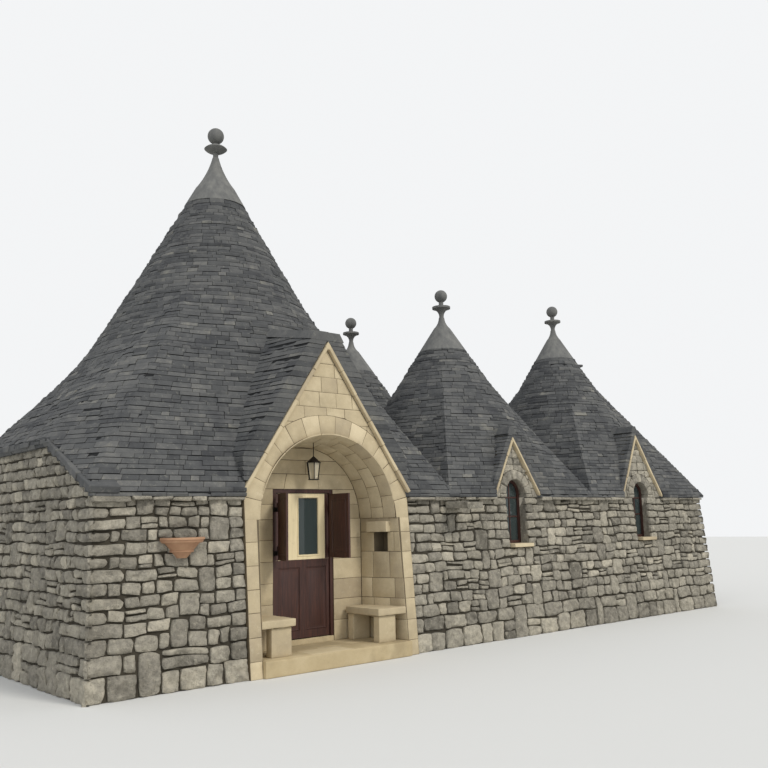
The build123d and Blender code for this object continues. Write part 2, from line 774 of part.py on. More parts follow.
with BuildPart() as bench_legs:
    for side in (-1, 1):
        inner = side * (bench_inner + leg_inset)
        for start in (bench_front + leg_inset, bench_back - leg_length):
            block(sorted((inner, inner + side * leg_width)), (start, start + leg_length),
                  (porch_floor_top, bench_top - bench_thickness))
write(bench_legs, "bench_legs")

with BuildPart() as niche_lintel:
    with BuildSketch(Plane.XY.offset(niche_lintel_z[0])):
        with BuildLine():
            Polyline(
                (jamb_half_front - jamb_splay * niche_lintel_y[0] - niche_lintel_nose, niche_lintel_y[0]),
                (jamb_half_front - jamb_splay * niche_lintel_y[0], niche_lintel_y[0]),
                (jamb_half_front - jamb_splay * niche_lintel_y[1], niche_lintel_y[1]),
                (jamb_half_front - jamb_splay * niche_lintel_y[1] - niche_lintel_nose, niche_lintel_y[1]),
                close=True,
            )
        make_face()
    extrude(amount=niche_lintel_z[1] - niche_lintel_z[0])
write(niche_lintel, "niche_lintel")

with BuildPart() as wall_bowl:
    bowl_y = facade_batter * bowl_foot
    with BuildSketch(Plane(origin=(bowl_x, bowl_y, 0), x_dir=(1, 0, 0), z_dir=(0, -1, 0))):
        with BuildLine():
            Polyline(
                (0, bowl_foot), (bowl_foot_radius, bowl_foot), (bowl_radius - bowl_lip, bowl_rim - bowl_lip),
                (bowl_radius, bowl_rim - bowl_lip), (bowl_radius, bowl_rim),
                (bowl_radius - bowl_wall - bowl_lip, bowl_rim), (bowl_foot_radius, bowl_foot + bowl_wall),
                (0, bowl_foot + bowl_wall), close=True,
            )
        make_face()
    revolve(axis=Axis((bowl_x, bowl_y, 0), (0, 0, 1)))
    split(bisect_by=facade, keep=Keep.TOP)
write(wall_bowl, "wall_bowl")

vault_taper = (jamb_half_front - jamb_half_back) / (vault_run_out + alcove_depth)
vault_radius_at_lantern = arch_radius - vault_taper * (vault_run_out + lantern_y + lantern_bar_radius)

with BuildPart() as lantern_iron:
    with Locations((0, lantern_y, (lantern_top + arch_centre + vault_radius_at_lantern) / 2)):
        Cylinder(lantern_bar_radius, arch_centre + vault_radius_at_lantern - lantern_top)
    with Locations((0, lantern_y, (lantern_shoulder + lantern_top) / 2)):
        Cone(lantern_radius + lantern_plate, lantern_bar_radius, lantern_top - lantern_shoulder)
    with Locations((0, lantern_y, lantern_foot + lantern_plate / 2)):
        Cylinder(lantern_foot_radius + lantern_plate, lantern_plate)
    for index in range(lantern_sides):
        turn = 2 * math.pi * index / lantern_sides
        low = Vector(lantern_foot_radius * math.cos(turn), lantern_y + lantern_foot_radius * math.sin(turn),
                     lantern_foot)
        high = Vector(lantern_radius * math.cos(turn), lantern_y + lantern_radius * math.sin(turn),
                      lantern_shoulder)
        with BuildSketch(Plane(origin=low, z_dir=high - low)):
            Circle(lantern_bar_radius)
        extrude(amount=(high - low).length)
write(lantern_iron, "lantern_iron")

with BuildPart() as lantern_glass:
    with BuildSketch(Plane.XY.offset(lantern_foot + lantern_plate)):
        with Locations((0, lantern_y)):
            RegularPolygon(lantern_foot_radius - lantern_bar_radius - lantern_glass_gap, lantern_sides)
    with BuildSketch(Plane.XY.offset(lantern_shoulder)):
        with Locations((0, lantern_y)):
            RegularPolygon(lantern_radius - lantern_bar_radius - lantern_glass_gap, lantern_sides)
    loft()
write(lantern_glass, "lantern_glass")

# Eave slabs and valley spout

with BuildPart() as eave_slabs:
    for start, end in (
        (left_end + side_at_eave, -porch_half), (porch_half, middle_gable_x - middle_gable_half),
        (middle_gable_x + middle_gable_half, right_gable_x - right_gable_half),
        (right_gable_x + right_gable_half, right_end - side_at_eave),
    ):
        block((start, end), (-facade_at_eave, 2 * facade_at_eave),
              (eave_height - eave_slab_thickness, eave_height))
    split(bisect_by=facade, keep=Keep.TOP)
    split(bisect_by=facade.offset(eave_slab_nose), keep=Keep.BOTTOM)
write(eave_slabs, "eave_slabs")

with BuildPart() as valley_spout:
    with BuildSketch(Plane.YZ.offset(spout_x - spout_width / 2)):
        with BuildLine():
            Polyline(
                (2 * facade_at_eave, spout_z[1] + spout_fall), (2 * facade_at_eave, spout_z[0] + spout_fall),
                (-spout_nose, spout_z[0] - spout_fall), (-spout_nose, spout_z[1] - spout_fall), close=True,
            )
        make_face()
    extrude(amount=spout_width)
    split(bisect_by=facade, keep=Keep.TOP)
write(valley_spout, "valley_spout")

# Smooth caps and finials

with BuildPart() as main_cap:
    with BuildSketch(Plane(origin=(main_axis[0], main_axis[1], main_tip), x_dir=(1, 0, 0), z_dir=(0, -1, 0))):
        with BuildLine():
            Line((0, -main_cap_drop), (main_cap_foot, -main_cap_drop))
            Line((main_cap_foot, -main_cap_drop), (main_shoulder_radius, -main_shoulder_drop))
            ThreePointArc((main_shoulder_radius, -main_shoulder_drop), (main_waist_radius, -main_waist_drop),
                          (main_neck_radius, main_neck_rise))
            Polyline((main_neck_radius, main_neck_rise), (0, main_neck_rise), (0, -main_cap_drop))
        make_face()
    revolve(axis=Axis((main_axis[0], main_axis[1], 0), (0, 0, 1)))
write(main_cap, "main_cap")

small_cones = (
    (middle_axis, middle_tip, middle_slope),
    (back_axis, back_tip, back_slope),
    (right_axis, right_tip, right_slope),
)

with BuildPart() as small_caps:
    for axis, tip, slope in small_cones:
        with BuildSketch(Plane(origin=(axis[0], axis[1], tip), x_dir=(1, 0, 0), z_dir=(0, -1, 0))) as half:
            with BuildLine() as outline:
                bend = (small_cap_bend / slope + small_cap_nose, -small_cap_bend)
                Polyline((0, 0), (0, -small_cap_drop),
                         (small_cap_drop / slope + small_cap_nose, -small_cap_drop), bend)
                ThreePointArc(bend, (small_bend_radius, -small_bend_drop), (small_neck_radius, 0))
                Line((small_neck_radius, 0), (0, 0))
            make_face(outline.line)
        revolve(half.sketch, axis=Axis((axis[0], axis[1], 0), (0, 0, 1)))
write(small_caps, "small_caps")

with BuildPart() as main_finial:
    with Locations((main_axis[0], main_axis[1], (main_tip + main_neck_rise + main_ball_height) / 2)):
        Cylinder(main_neck_radius - finial_step, main_ball_height - main_tip - main_neck_rise)
    with BuildSketch(Plane(origin=(*main_axis, main_disc_height), x_dir=(1, 0, 0), z_dir=(0, -1, 0))):
        with BuildLine():
            bulge = (lens_share[0] * main_disc_radius, lens_share[1] * main_disc_half)
            ThreePointArc((0, -main_disc_half), (bulge[0], -bulge[1]), (main_disc_radius, 0))
            ThreePointArc((main_disc_radius, 0), bulge, (0, main_disc_half))
            Line((0, main_disc_half), (0, -main_disc_half))
        make_face()
    revolve(axis=Axis((main_axis[0], main_axis[1], 0), (0, 0, 1)))
    with Locations((main_axis[0], main_axis[1], main_ball_height)):
        Sphere(main_ball_radius)
write(main_finial, "main_finial")

with BuildPart() as small_finials:
    stem = small_neck_radius - finial_step
    for axis, tip, slope in small_cones:
        with BuildSketch(Plane(origin=(axis[0], axis[1], tip), x_dir=(1, 0, 0), z_dir=(0, -1, 0))) as half:
            with BuildLine() as outline:
                Polyline((0, small_ball_rise), (0, 0), (stem, 0), (stem, small_waist_rise))
                ThreePointArc((stem, small_waist_rise), small_cup_bend,
                              (small_cup_radius, small_cup_rise - small_cup_rim))
                Polyline(
                    (small_cup_radius, small_cup_rise - small_cup_rim), (small_cup_radius, small_cup_rise),
                    (stem, small_cup_rise), (stem, small_ball_rise), (0, small_ball_rise),
                )
            make_face(outline.line)
        revolve(half.sketch, axis=Axis((axis[0], axis[1], 0), (0, 0, 1)))
        with Locations((axis[0], axis[1], tip + small_ball_rise)):
            Sphere(small_ball_radius)
write(small_finials, "small_finials")
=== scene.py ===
"""Looks of the trullo house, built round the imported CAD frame.

Metres, +Z up, in the frame's own axes: +X along the facade to the right, +Y into the building, the
origin on the ground under the middle of the entrance.
"""

import math
import random
from itertools import pairwise, product

import bmesh
import bpy
import numpy as np
from mathutils import Matrix, Vector
from mathutils.noise import fractal


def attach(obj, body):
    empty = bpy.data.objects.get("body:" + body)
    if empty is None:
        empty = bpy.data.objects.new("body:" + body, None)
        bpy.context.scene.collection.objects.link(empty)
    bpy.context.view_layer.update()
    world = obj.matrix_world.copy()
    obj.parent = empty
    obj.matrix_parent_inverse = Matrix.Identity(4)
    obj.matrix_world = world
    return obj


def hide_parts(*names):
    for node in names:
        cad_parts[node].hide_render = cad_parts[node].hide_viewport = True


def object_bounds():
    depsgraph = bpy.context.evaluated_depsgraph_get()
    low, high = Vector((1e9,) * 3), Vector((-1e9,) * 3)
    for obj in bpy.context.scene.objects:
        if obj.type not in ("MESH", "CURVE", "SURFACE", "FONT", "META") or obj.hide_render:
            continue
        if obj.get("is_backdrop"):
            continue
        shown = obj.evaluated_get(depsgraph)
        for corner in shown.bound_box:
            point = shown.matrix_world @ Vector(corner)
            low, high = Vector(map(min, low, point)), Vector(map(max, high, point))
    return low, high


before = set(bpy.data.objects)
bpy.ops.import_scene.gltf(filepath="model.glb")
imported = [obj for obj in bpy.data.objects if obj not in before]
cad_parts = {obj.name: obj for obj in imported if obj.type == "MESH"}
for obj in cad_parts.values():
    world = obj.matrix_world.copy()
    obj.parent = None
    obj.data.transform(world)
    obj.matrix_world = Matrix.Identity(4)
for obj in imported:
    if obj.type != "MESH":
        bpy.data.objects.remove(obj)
cad_low, cad_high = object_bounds()
rng = random.Random(20)

# Sizes repeated from the CAD model, in metres
FRONT_BATTER = 0.078
SIDE_BATTER = 0.037
LEFT = -3.32
RIGHT = 9.43
DEPTH = 6.5
RIGHT_DEPTH = 4.15
STEP_X = 5.95
PORCH_HALF = 1.34
EAVE = 2.13
EAVE_TOP = 2.18
RAISED = 2.81
KINK_FRONT = 1.53
KINK_BACK = 4.15
OVERHANG = 0.045
EAVE_FRONT = FRONT_BATTER * EAVE - OVERHANG
ROOF_LEFT = LEFT + SIDE_BATTER * RAISED - OVERHANG
ROOF_BACK = DEPTH - SIDE_BATTER * EAVE + OVERHANG
ROOF_RIGHT = RIGHT - SIDE_BATTER * EAVE + OVERHANG
RIGHT_ROOF_BACK = RIGHT_DEPTH - SIDE_BATTER * EAVE + OVERHANG
GABLE_BACKS = (0.82, 0.95)
GABLE_ROOF = 0.12
WINDOWS = (3.73, 7.28)
WINDOW_HALF = 0.23
WINDOW_FOOT = 1.35
WINDOW_SPRING = 2.19
WINDOW_LIGHT = 0.185
WINDOW_BAR_Y = 0.36

# How the stones are laid
BACKING_SINK = 0.06
STONE_DEPTH = 0.078
JOINT = 0.008
STONE_STEP = 0.028
STONE_EDGE = 0.017
STONE_ROUGH = 0.03


# Materials


def node_tools(tree):
    """Two functions for a node tree: one fills a node's inputs with values or links, one adds a node."""
    def fill(node, inputs):
        for key, value in inputs.items():
            if isinstance(value, bpy.types.NodeSocket):
                tree.links.new(value, node.inputs[key])
            else:
                node.inputs[key].default_value = value
        return node

    def add(kind, inputs=None, **settings):
        node = tree.nodes.new(kind)
        for key, value in settings.items():
            setattr(node, key, value)
        return fill(node, inputs or {})

    return fill, add


def material(name):
    """Two functions for a new material: one adds nodes, one fills its shader, adds a bump and returns it."""
    made = bpy.data.materials.new(name)
    made.use_nodes = True
    fill, add = node_tools(made.node_tree)

    def finish(inputs, height=None, distance=0.0, strength=1.0):
        shader = fill(made.node_tree.nodes["Principled BSDF"], inputs)
        if height is not None:
            bump = add("ShaderNodeBump", {"Height": height, "Distance": distance, "Strength": strength})
            fill(shader, {"Normal": bump.outputs["Normal"]})
        return made

    return add, finish


def rgba(colour):
    """A colour written as sRGB hex, as the linear values that a node takes."""
    parts = [int(colour[i:i + 2], 16) / 255 for i in (0, 2, 4)]
    return [p / 12.92 if p <= 0.04045 else ((p + 0.055) / 1.055) ** 2.4 for p in parts] + [1.0]


def ramp(add, factor, stops):
    """A colour ramp through the given (place, hex colour) stops."""
    node = add("ShaderNodeValToRGB", {"Fac": factor})
    points = node.color_ramp.elements
    while len(points) < len(stops):
        points.new(0.5)
    for point, (place, colour) in zip(points, stops):
        point.position = place
        point.color = rgba(colour)
    return node.outputs["Color"]


def object_place(add):
    """The place on the object, in metres."""
    return add("ShaderNodeTexCoord").outputs["Object"]


def noise(add, where, scale, detail=4.0, rough=0.6):
    """Fractal noise at a scale in cycles a metre."""
    inputs = {"Vector": where, "Scale": scale, "Detail": detail, "Roughness": rough}
    return add("ShaderNodeTexNoise", inputs).outputs["Fac"]


def mix(add, factor, first, second):
    """Two colours mixed by a factor."""
    return add("ShaderNodeMix", {0: factor, 6: first, 7: second}, data_type="RGBA").outputs[2]


def calculate(add, operation, *values, clamp=False):
    """The result of a Math node."""
    return add("ShaderNodeMath", dict(enumerate(values)), operation=operation, use_clamp=clamp).outputs[0]


def between(add, value, low, high, result, start=0.0):
    """A start below one value, a result above another, and an even change between."""
    return add("ShaderNodeMapRange", {0: value, 1: low, 2: high, 3: start, 4: result}).outputs[0]


def stone(name, stops, stain, stain_share, lichen=None, grain=9.0, relief=0.004, roughness=0.95, pit_dirt_and_shade=0.35,
          mottling=0.9):
    """Weathered limestone: each stone has its own tone, with mottling, stains, lichen, and pits darkened
    partly as dirt and partly as painted shade.
    """
    add, finish = material(name)
    where = object_place(add)
    tone = add("ShaderNodeAttribute", attribute_name="tone").outputs["Fac"]
    mottle = calculate(add, "MULTIPLY_ADD", noise(add, where, grain), mottling, -mottling / 2)
    colour = ramp(add, calculate(add, "ADD", tone, mottle, clamp=True), stops)
    patches = noise(add, where, 1.7, 5.0, 0.65)
    colour = mix(add, between(add, patches, 0.52, 0.68, stain_share), colour, rgba(stain))
    if lichen:
        spots = noise(add, where, 15.0, 6.0, 0.75)
        colour = mix(add, between(add, spots, 0.57, 0.66, lichen[1]), colour, rgba(lichen[0]))
    holes = add("ShaderNodeTexVoronoi", {"Vector": where, "Scale": 70.0}).outputs["Distance"]
    hole = between(add, holes, 0.08, 0.3, 1.0)
    # Pits are darkened towards 3a362f where the bump sinks: partly dirt in them, partly painted shade in the
    # hollows
    colour = mix(add, between(add, hole, 0.0, 1.0, 0.0, pit_dirt_and_shade), colour, rgba("3a362f"))
    coarse, fine = noise(add, where, 7.0, 3.0), noise(add, where, 26.0, 8.0, 0.7)
    height = calculate(add, "MULTIPLY_ADD", coarse, 1.5, fine)
    height = calculate(add, "MULTIPLY_ADD", hole, 0.35, height)
    return finish({"Base Color": colour, "Roughness": roughness, "Specular IOR Level": 0.25}, height, relief)


def plaster(name, stops, relief=0.0015, streaks=0.0):
    """Lime plaster, mortar or fired clay, with soft clouds of tone and, on caps, rain streaks."""
    add, finish = material(name)
    where = object_place(add)
    long_way = add("ShaderNodeMapping", {"Vector": where, "Scale": (9.0, 9.0, 0.8)}).outputs[0]
    clouds, rain = noise(add, where, 3.0, 6.0, 0.65), noise(add, long_way, 1.2)
    inputs = {"Base Color": ramp(add, mix(add, streaks, clouds, rain), stops), "Roughness": 0.9,
              "Specular IOR Level": 0.3}
    return finish(inputs, noise(add, where, 35.0, 8.0, 0.7), relief)


def wood(name, stops, relief=0.0007, wear=None):
    """Upright boards, painted or varnished, with wear where one is given."""
    add, finish = material(name)
    where = object_place(add)
    along = add("ShaderNodeMapping", {"Vector": where, "Scale": (22.0, 22.0, 1.4)}).outputs[0]
    fibres = noise(add, along, 2.6, 6.0)
    colour = ramp(add, fibres, stops)
    if wear:
        spots = noise(add, where, 14.0, 6.0, 0.7)
        colour = mix(add, between(add, spots, 0.6, 0.75, 0.6), colour, rgba(wear))
    return finish({"Base Color": colour, "Roughness": 0.55}, fibres, relief)


def iron(name):
    """Forged iron under flat black paint, with faint rust."""
    add, finish = material(name)
    where = object_place(add)
    rust = noise(add, where, 60.0, 6.0, 0.7)
    colour = ramp(add, rust, ((0.45, "1d1c1b"), (0.62, "2a211c"), (0.75, "4a2f22")))
    inputs = {"Base Color": colour, "Metallic": 0.6, "Roughness": 0.55}
    return finish(inputs, noise(add, where, 140.0), 0.0006)


def glass(name, tint, roughness, transmission):
    """Window glass with a slight ripple."""
    add, finish = material(name)
    inputs = {"Base Color": rgba(tint), "Roughness": roughness, "IOR": 1.45,
              "Transmission Weight": transmission}
    return finish(inputs, noise(add, object_place(add), 5.0, 2.0), 0.001, 0.3)


RUBBLE = stone("rubble_limestone", ((0.0, "6c685e"), (0.3, "8a8579"), (0.65, "a29c8d"), (1.0, "bfb7a4")),
               "5a564c", 0.45, ("c9c2ae", 0.45), grain=13.0, relief=0.024, mottling=1.3)
JOINTS = stone("joint_shadow", ((0.0, "39352d"), (1.0, "4a453a")), "2c2924", 0.5)
ASHLAR = stone("dressed_ashlar", ((0.0, "a4967d"), (0.5, "b9aa8b"), (1.0, "cfc0a0")), "8c7f67", 0.35,
               ("d6cbb0", 0.2), grain=5.0, relief=0.002, pit_dirt_and_shade=0.2)
ASHLAR_JOINTS = stone("ashlar_joints", ((0.0, "665b48"), (1.0, "7a6d57")), "4c4334", 0.4, relief=0.001)
SLABS = stone("roof_slabs", ((0.0, "3f4041"), (0.4, "515252"), (0.8, "636361"), (1.0, "7c7a72")),
              "35363a", 0.45, ("85847a", 0.4), grain=6.0, relief=0.004)
# The roofs' core shows only in the gaps between slabs: it is painted near-black as the shade there, not a
# stone colour
SHADED_ROOF_CORE = stone("roof_core_shade", ((0.0, "1f2021"), (1.0, "2d2e2e")), "17181a", 0.5)
CAP = plaster("cap_mortar", ((0.25, "4f5050"), (0.5, "6b6b68"), (0.8, "86857e")), 0.003, 0.6)
ROOM = plaster("room_limewash", ((0.3, "cfc6b2"), (0.7, "e4dccb")))
ROOM_FLOOR = plaster("room_floor_stone", ((0.3, "a8977a"), (0.7, "c4b593")))
PAVING = stone("worn_paving", ((0.0, "9a8a6c"), (0.5, "b3a27f"), (1.0, "c8b896")), "7b6d54", 0.35, grain=4.0,
               relief=0.0015, roughness=0.8, pit_dirt_and_shade=0.15)
DARK_WOOD = wood("dark_wood", ((0.3, "2c1712"), (0.55, "40231b"), (0.8, "553124")))
CREAM_WOOD = wood("cream_paint", ((0.3, "d9c9a0"), (0.7, "ead9b0")), relief=0.0003, wear="b9a47a")
IRON = iron("black_iron")
PANE = glass("window_glass", "46504f", 0.05, 0.35)
LANTERN_GLASS = glass("lantern_glass", "efe4c8", 0.35, 0.6)
TERRACOTTA = plaster("terracotta", ((0.3, "977057"), (0.6, "b08a6c"), (0.85, "c4a384")), 0.001)


# Meshes


class Piece:
    """Collects the stones, slabs or boards of one piece of the scene, each with its own tone."""

    def __init__(self):
        self.points = []
        self.faces = []
        self.kinds = []
        self.tones = []

    def add(self, points, faces, tone=None, kind=0):
        """Adds one solid or patch, with a random tone unless one is given."""
        tone = 0.5 + (rng.random() + rng.random() - 1) * 0.42 if tone is None else tone
        count = len(self.points)
        self.points.extend(points)
        self.faces.extend([tuple(i + count for i in face) for face in faces])
        self.kinds.extend([kind] * len(faces))
        self.tones.extend([tone] * len(points))

    def build(self, name, materials, slot, body="house", replaces=(), smooth=30):
        """Makes the object and says its body and the CAD nodes that it stands in for; the slot is not used.
        """
        mesh = bpy.data.meshes.new(name)
        mesh.from_pydata([tuple(p) for p in self.points], [], self.faces)
        mesh.polygons.foreach_set("material_index", self.kinds)
        mesh.attributes.new("tone", "FLOAT", "POINT").data.foreach_set("value", self.tones)
        for made in materials:
            mesh.materials.append(made)
        mesh.validate()
        mesh.polygons.foreach_set("use_smooth", [True] * len(mesh.polygons))
        mesh.set_sharp_from_angle(angle=math.radians(smooth))
        piece = bpy.data.objects.new(name, mesh)
        bpy.context.scene.collection.objects.link(piece)
        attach(piece, body)
        if replaces:
            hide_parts(*replaces)


def grid_faces(rows, columns, flip):
    """Quads of a grid of points stored row by row."""
    faces = []
    for r in range(rows - 1):
        for c in range(columns - 1):
            a = r * columns + c
            quad = (a, a + 1, a + columns + 1, a + columns)
            faces.append(quad[::-1] if flip else quad)
    return faces


def rim(rows, columns):
    """Indices round the edge of a grid, anticlockwise."""
    low = list(range(columns))
    right = [r * columns + columns - 1 for r in range(1, rows)]
    top = [(rows - 1) * columns + c for c in range(columns - 2, -1, -1)]
    left = [r * columns for r in range(rows - 2, 0, -1)]
    return low + right + top + left


def stone_patch(piece, surface, us, vs, face, edge, depth, rough, flip, warp=0.0, tilt=0.0, uv=None,
                grain=9.0, soft=0.006, rounding=0.0):
    """One stone on a surface: a rough face, edges that fall away over a soft width, sides into the wall."""
    middle_u, middle_v = (us[0] + us[-1]) / 2, (vs[0] + vs[-1]) / 2
    corners = [rng.uniform(-warp, warp) for _ in range(8)]
    lean_u, lean_v = rng.uniform(-tilt, tilt), rng.uniform(-tilt, tilt)
    seed = Vector((rng.uniform(0, 90), rng.uniform(0, 90), 0))

    def warped(shifts, s, t):
        return (shifts[0] * (1 - s) + shifts[1] * s) * (1 - t) + (shifts[2] * (1 - s) + shifts[3] * s) * t

    def fallen(lean, share):
        return abs(lean) * (share if lean > 0 else 1 - share)

    points, places = [], []
    for v in vs:
        for u in us:
            s, t = (u - us[0]) / (us[-1] - us[0]), (v - vs[0]) / (vs[-1] - vs[0])
            pull = rounding * ((2 * s - 1) * (2 * t - 1)) ** 2
            place = u + (middle_u - u) * pull, v + (middle_v - v) * pull
            if uv:
                place = uv(*place)
            bumps = fractal(seed + Vector((u, v, 0)) * grain, 0.7, 2.2, 4)
            near = min(u - us[0], us[-1] - u, v - vs[0], vs[-1] - v)
            sink = face + fallen(lean_u, s) + fallen(lean_v, t) + rough * min(max(0.5 + bumps, 0), 1)
            sink += edge * max(1 - near / soft, 0) ** 2
            places.append((place[0] + warped(corners[:4], s, t), place[1] + warped(corners[4:], s, t)))
            points.append(surface(*places[-1], sink))
    faces = grid_faces(len(vs), len(us), flip)
    outline = rim(len(vs), len(us))
    base = len(points)
    points += [surface(*places[i], depth) for i in outline]
    for i, here in enumerate(outline):
        j = (i + 1) % len(outline)
        quad = (here, base + i, base + j, outline[j])
        faces.append(quad[::-1] if flip else quad)
    piece.add(points, faces)


def spaced(start, end, edge, step):
    """Places along a stone: its ends, a narrow band inside each, and even steps between."""
    edge = min(edge, (end - start) * 0.3)
    inner = max(1, round((end - start - 2 * edge) / step))
    middle = [start + edge + (end - start - 2 * edge) * i / inner for i in range(inner + 1)]
    return [start] + middle + [end]


def lengths(start, end, least, most):
    """Breaks a run into random stone lengths that fill it exactly."""
    places = [start]
    while end - places[-1] > most:
        places.append(places[-1] + rng.uniform(least, most))
    if len(places) > 1 and end - places[-1] < least * 0.6:
        places.pop()
    return places + [end]


def block(piece, origin, turn, low, high, bevel=0.006, jitter=0.0, tone=None):
    """A squared block in turned axes about an origin, with cut edges and its corners a little out of true."""
    ends = Vector(low), Vector(high)
    points = []
    for place in product((0, 1), repeat=3):
        corner = Vector([ends[place[k]][k] for k in range(3)])
        corner += Vector([rng.uniform(-jitter, jitter) for _ in range(3)])
        inward = Vector([1 - 2 * k for k in place]) * bevel
        for axis in range(3):
            moved = corner + inward
            moved[axis] = corner[axis]
            points.append(origin + turn @ moved)

    def index(x, y, z, axis):
        return (x * 4 + y * 2 + z) * 3 + axis

    faces = []
    for side in (0, 1):
        x_face = [index(side, y, z, 0) for y, z in ((0, 0), (1, 0), (1, 1), (0, 1))]
        y_face = [index(x, side, z, 1) for x, z in ((0, 0), (0, 1), (1, 1), (1, 0))]
        z_face = [index(x, y, side, 2) for x, y in ((0, 0), (1, 0), (1, 1), (0, 1))]
        faces += [tuple(face if side else face[::-1]) for face in (x_face, y_face, z_face)]
    for a, b in product((0, 1), repeat=2):
        x_edge = [index(0, a, b, 1), index(1, a, b, 1), index(1, a, b, 2), index(0, a, b, 2)]
        y_edge = [index(a, 0, b, 2), index(a, 1, b, 2), index(a, 1, b, 0), index(a, 0, b, 0)]
        z_edge = [index(a, b, 0, 0), index(a, b, 1, 0), index(a, b, 1, 1), index(a, b, 0, 1)]
        faces += [tuple(edge if (a + b) % 2 else edge[::-1]) for edge in (x_edge, y_edge, z_edge)]
    for place in product((0, 1), repeat=3):
        corner = [index(*place, axis) for axis in range(3)]
        faces.append(tuple(corner if sum(place) % 2 else corner[::-1]))
    if turn.determinant() < 0:
        faces = [face[::-1] for face in faces]
    piece.add(points, faces, tone)


def separate_solids(work):
    """The separate solids of a bmesh, each as its points and faces."""
    work.faces.index_update()
    seen = set()
    for first in work.verts:
        if first in seen:
            continue
        seen.add(first)
        group = [first]
        for vert in group:
            for edge in vert.link_edges:
                other = edge.other_vert(vert)
                if other not in seen:
                    seen.add(other)
                    group.append(other)
        place = {vert: i for i, vert in enumerate(group)}
        faces = sorted({face for vert in group for face in vert.link_faces}, key=lambda face: face.index)
        yield [v.co.copy() for v in group], [tuple(place[v] for v in face.verts) for face in faces]


def weathered(name, node, look, slot, bevel, rough, cell):
    """Stands in for stones of the CAD model: the same solids with worn edges and slightly uneven faces."""
    work = bmesh.new()
    work.from_mesh(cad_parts[node].data)
    bmesh.ops.remove_doubles(work, verts=work.verts, dist=1e-5)
    bmesh.ops.dissolve_limit(work, angle_limit=math.radians(1), verts=work.verts, edges=work.edges)
    edges = [e for e in work.edges if e.is_manifold and e.calc_face_angle() > math.radians(20)]
    bmesh.ops.bevel(work, geom=edges, offset=bevel, segments=2, profile=0.6, affect="EDGES")
    bmesh.ops.triangulate(work, faces=work.faces)
    long_edges = [e for e in work.edges if e.calc_length() > cell]
    while long_edges:
        bmesh.ops.subdivide_edges(work, edges=long_edges, cuts=1)
        bmesh.ops.triangulate(work, faces=work.faces)
        long_edges = [e for e in work.edges if e.calc_length() > cell]
    work.normal_update()
    for vert in work.verts:
        wear = min(max(0.5 + 0.6 * fractal(vert.co * 8, 0.8, 2.2, 4), 0), 1)
        vert.co -= vert.normal * rough * wear
    piece = Piece()
    for points, faces in separate_solids(work):
        piece.add(points, faces)
    work.free()
    piece.build(name, (look,), slot, replaces=(node,), smooth=40)


# Outer walls: one run of courses from the porch's left side, round the back, to its right side


def corners_at(z):
    """The plan of the outer faces at a height, which lean in as they rise."""
    front, side = FRONT_BATTER * z, SIDE_BATTER * z
    return (
        (-PORCH_HALF, front), (LEFT + side, front), (LEFT + side, DEPTH - side), (STEP_X, DEPTH - side),
        (STEP_X, RIGHT_DEPTH - side), (RIGHT - side, RIGHT_DEPTH - side), (RIGHT - side, front),
        (PORCH_HALF, front),
    )


FOOT = corners_at(0)
STATIONS = [0.0]
for here, there in pairwise(FOOT):
    STATIONS.append(STATIONS[-1] + math.dist(here, there))
NORMALS = [Vector((a[1] - b[1], b[0] - a[0], 0)).normalized() for a, b in pairwise(FOOT)]
WALL_END = STATIONS[-1]
OUTER_CORNERS = (1, 2, 3, 5, 6)
INNER_CORNER = 4


def wall_surface(s, z, sink):
    """The point of the outer face at a distance along its run and a height, sunk into the wall."""
    s = min(max(s, 0.0), WALL_END)
    z = max(z, 0.0)
    part = max(i for i in range(len(FOOT) - 1) if STATIONS[i] <= s + 1e-9)
    share = (s - STATIONS[part]) / (STATIONS[part + 1] - STATIONS[part])
    corners = corners_at(z)
    a, b = corners[part], corners[part + 1]
    inward = -NORMALS[part]
    if share < 1e-6 and part > 0:
        inward = -(NORMALS[part] + NORMALS[part - 1])
    if share > 1 - 1e-6 and part < len(NORMALS) - 1:
        inward = -(NORMALS[part] + NORMALS[part + 1])
    point = Vector((a[0] + (b[0] - a[0]) * share, a[1] + (b[1] - a[1]) * share, z))
    return point + inward * sink


def left_wall_top(y):
    """The height of the left wall's top at a depth."""
    if y < KINK_FRONT:
        return EAVE + (RAISED - EAVE) * max(y, 0) / KINK_FRONT
    if y < KINK_BACK:
        return RAISED
    return RAISED - (RAISED - EAVE) * (y - KINK_BACK) / (DEPTH - KINK_BACK)


def facade_station(x):
    """The distance along the run of a place on the facade right of the porch."""
    return STATIONS[6] + RIGHT - x


WINDOW_HOLES = [(facade_station(x + WINDOW_HALF), facade_station(x - WINDOW_HALF)) for x in WINDOWS]
COURSES = (0.0, 0.26, 0.46, 0.63, 0.78, 0.92, 1.06, 1.21, 1.35, 1.49, 1.63, 1.76, 1.89, 2.01, 2.13)
UPPER_COURSES = (2.13, 2.28, 2.42, 2.55, 2.68, 2.81)
SIZE_AT_FOOT = (0.22, 0.5)
SIZE_ABOVE = (0.12, 0.34)
TALL_WIDTH = (0.17, 0.32)
TALL_SPACING = (0.7, 1.9)
THIN_SHARE = 0.14
QUOIN_LONG, QUOIN_SHORT = 0.44, 0.25
JAMB_LONG, JAMB_SHORT = 0.32, 0.19
CLEAR = 0.06
WANDER = 0.035
BAND = 0.012
FREE_ALONG, FREE_UP = 0.35, 0.2
SPLIT_LEAST, SPLIT_SHARE = 0.14, (0.38, 0.62)
BED_GAP, END_GAP, TIGHT_GAP = (0.005, 0.014), (0.006, 0.015), 0.004


def loose(s, z):
    """How free the joints are to wander: not at the corners, the foot, the top or the windows."""
    free = min(abs(s - station) for station in STATIONS)
    if z > WINDOW_FOOT - 0.15:
        free = min([free] + [max(start - s, s - end, 0) for start, end in WINDOW_HOLES])
    level = max(min(z, EAVE - z), 0)
    return min(free / FREE_ALONG, 1) * min(level / FREE_UP, 1)


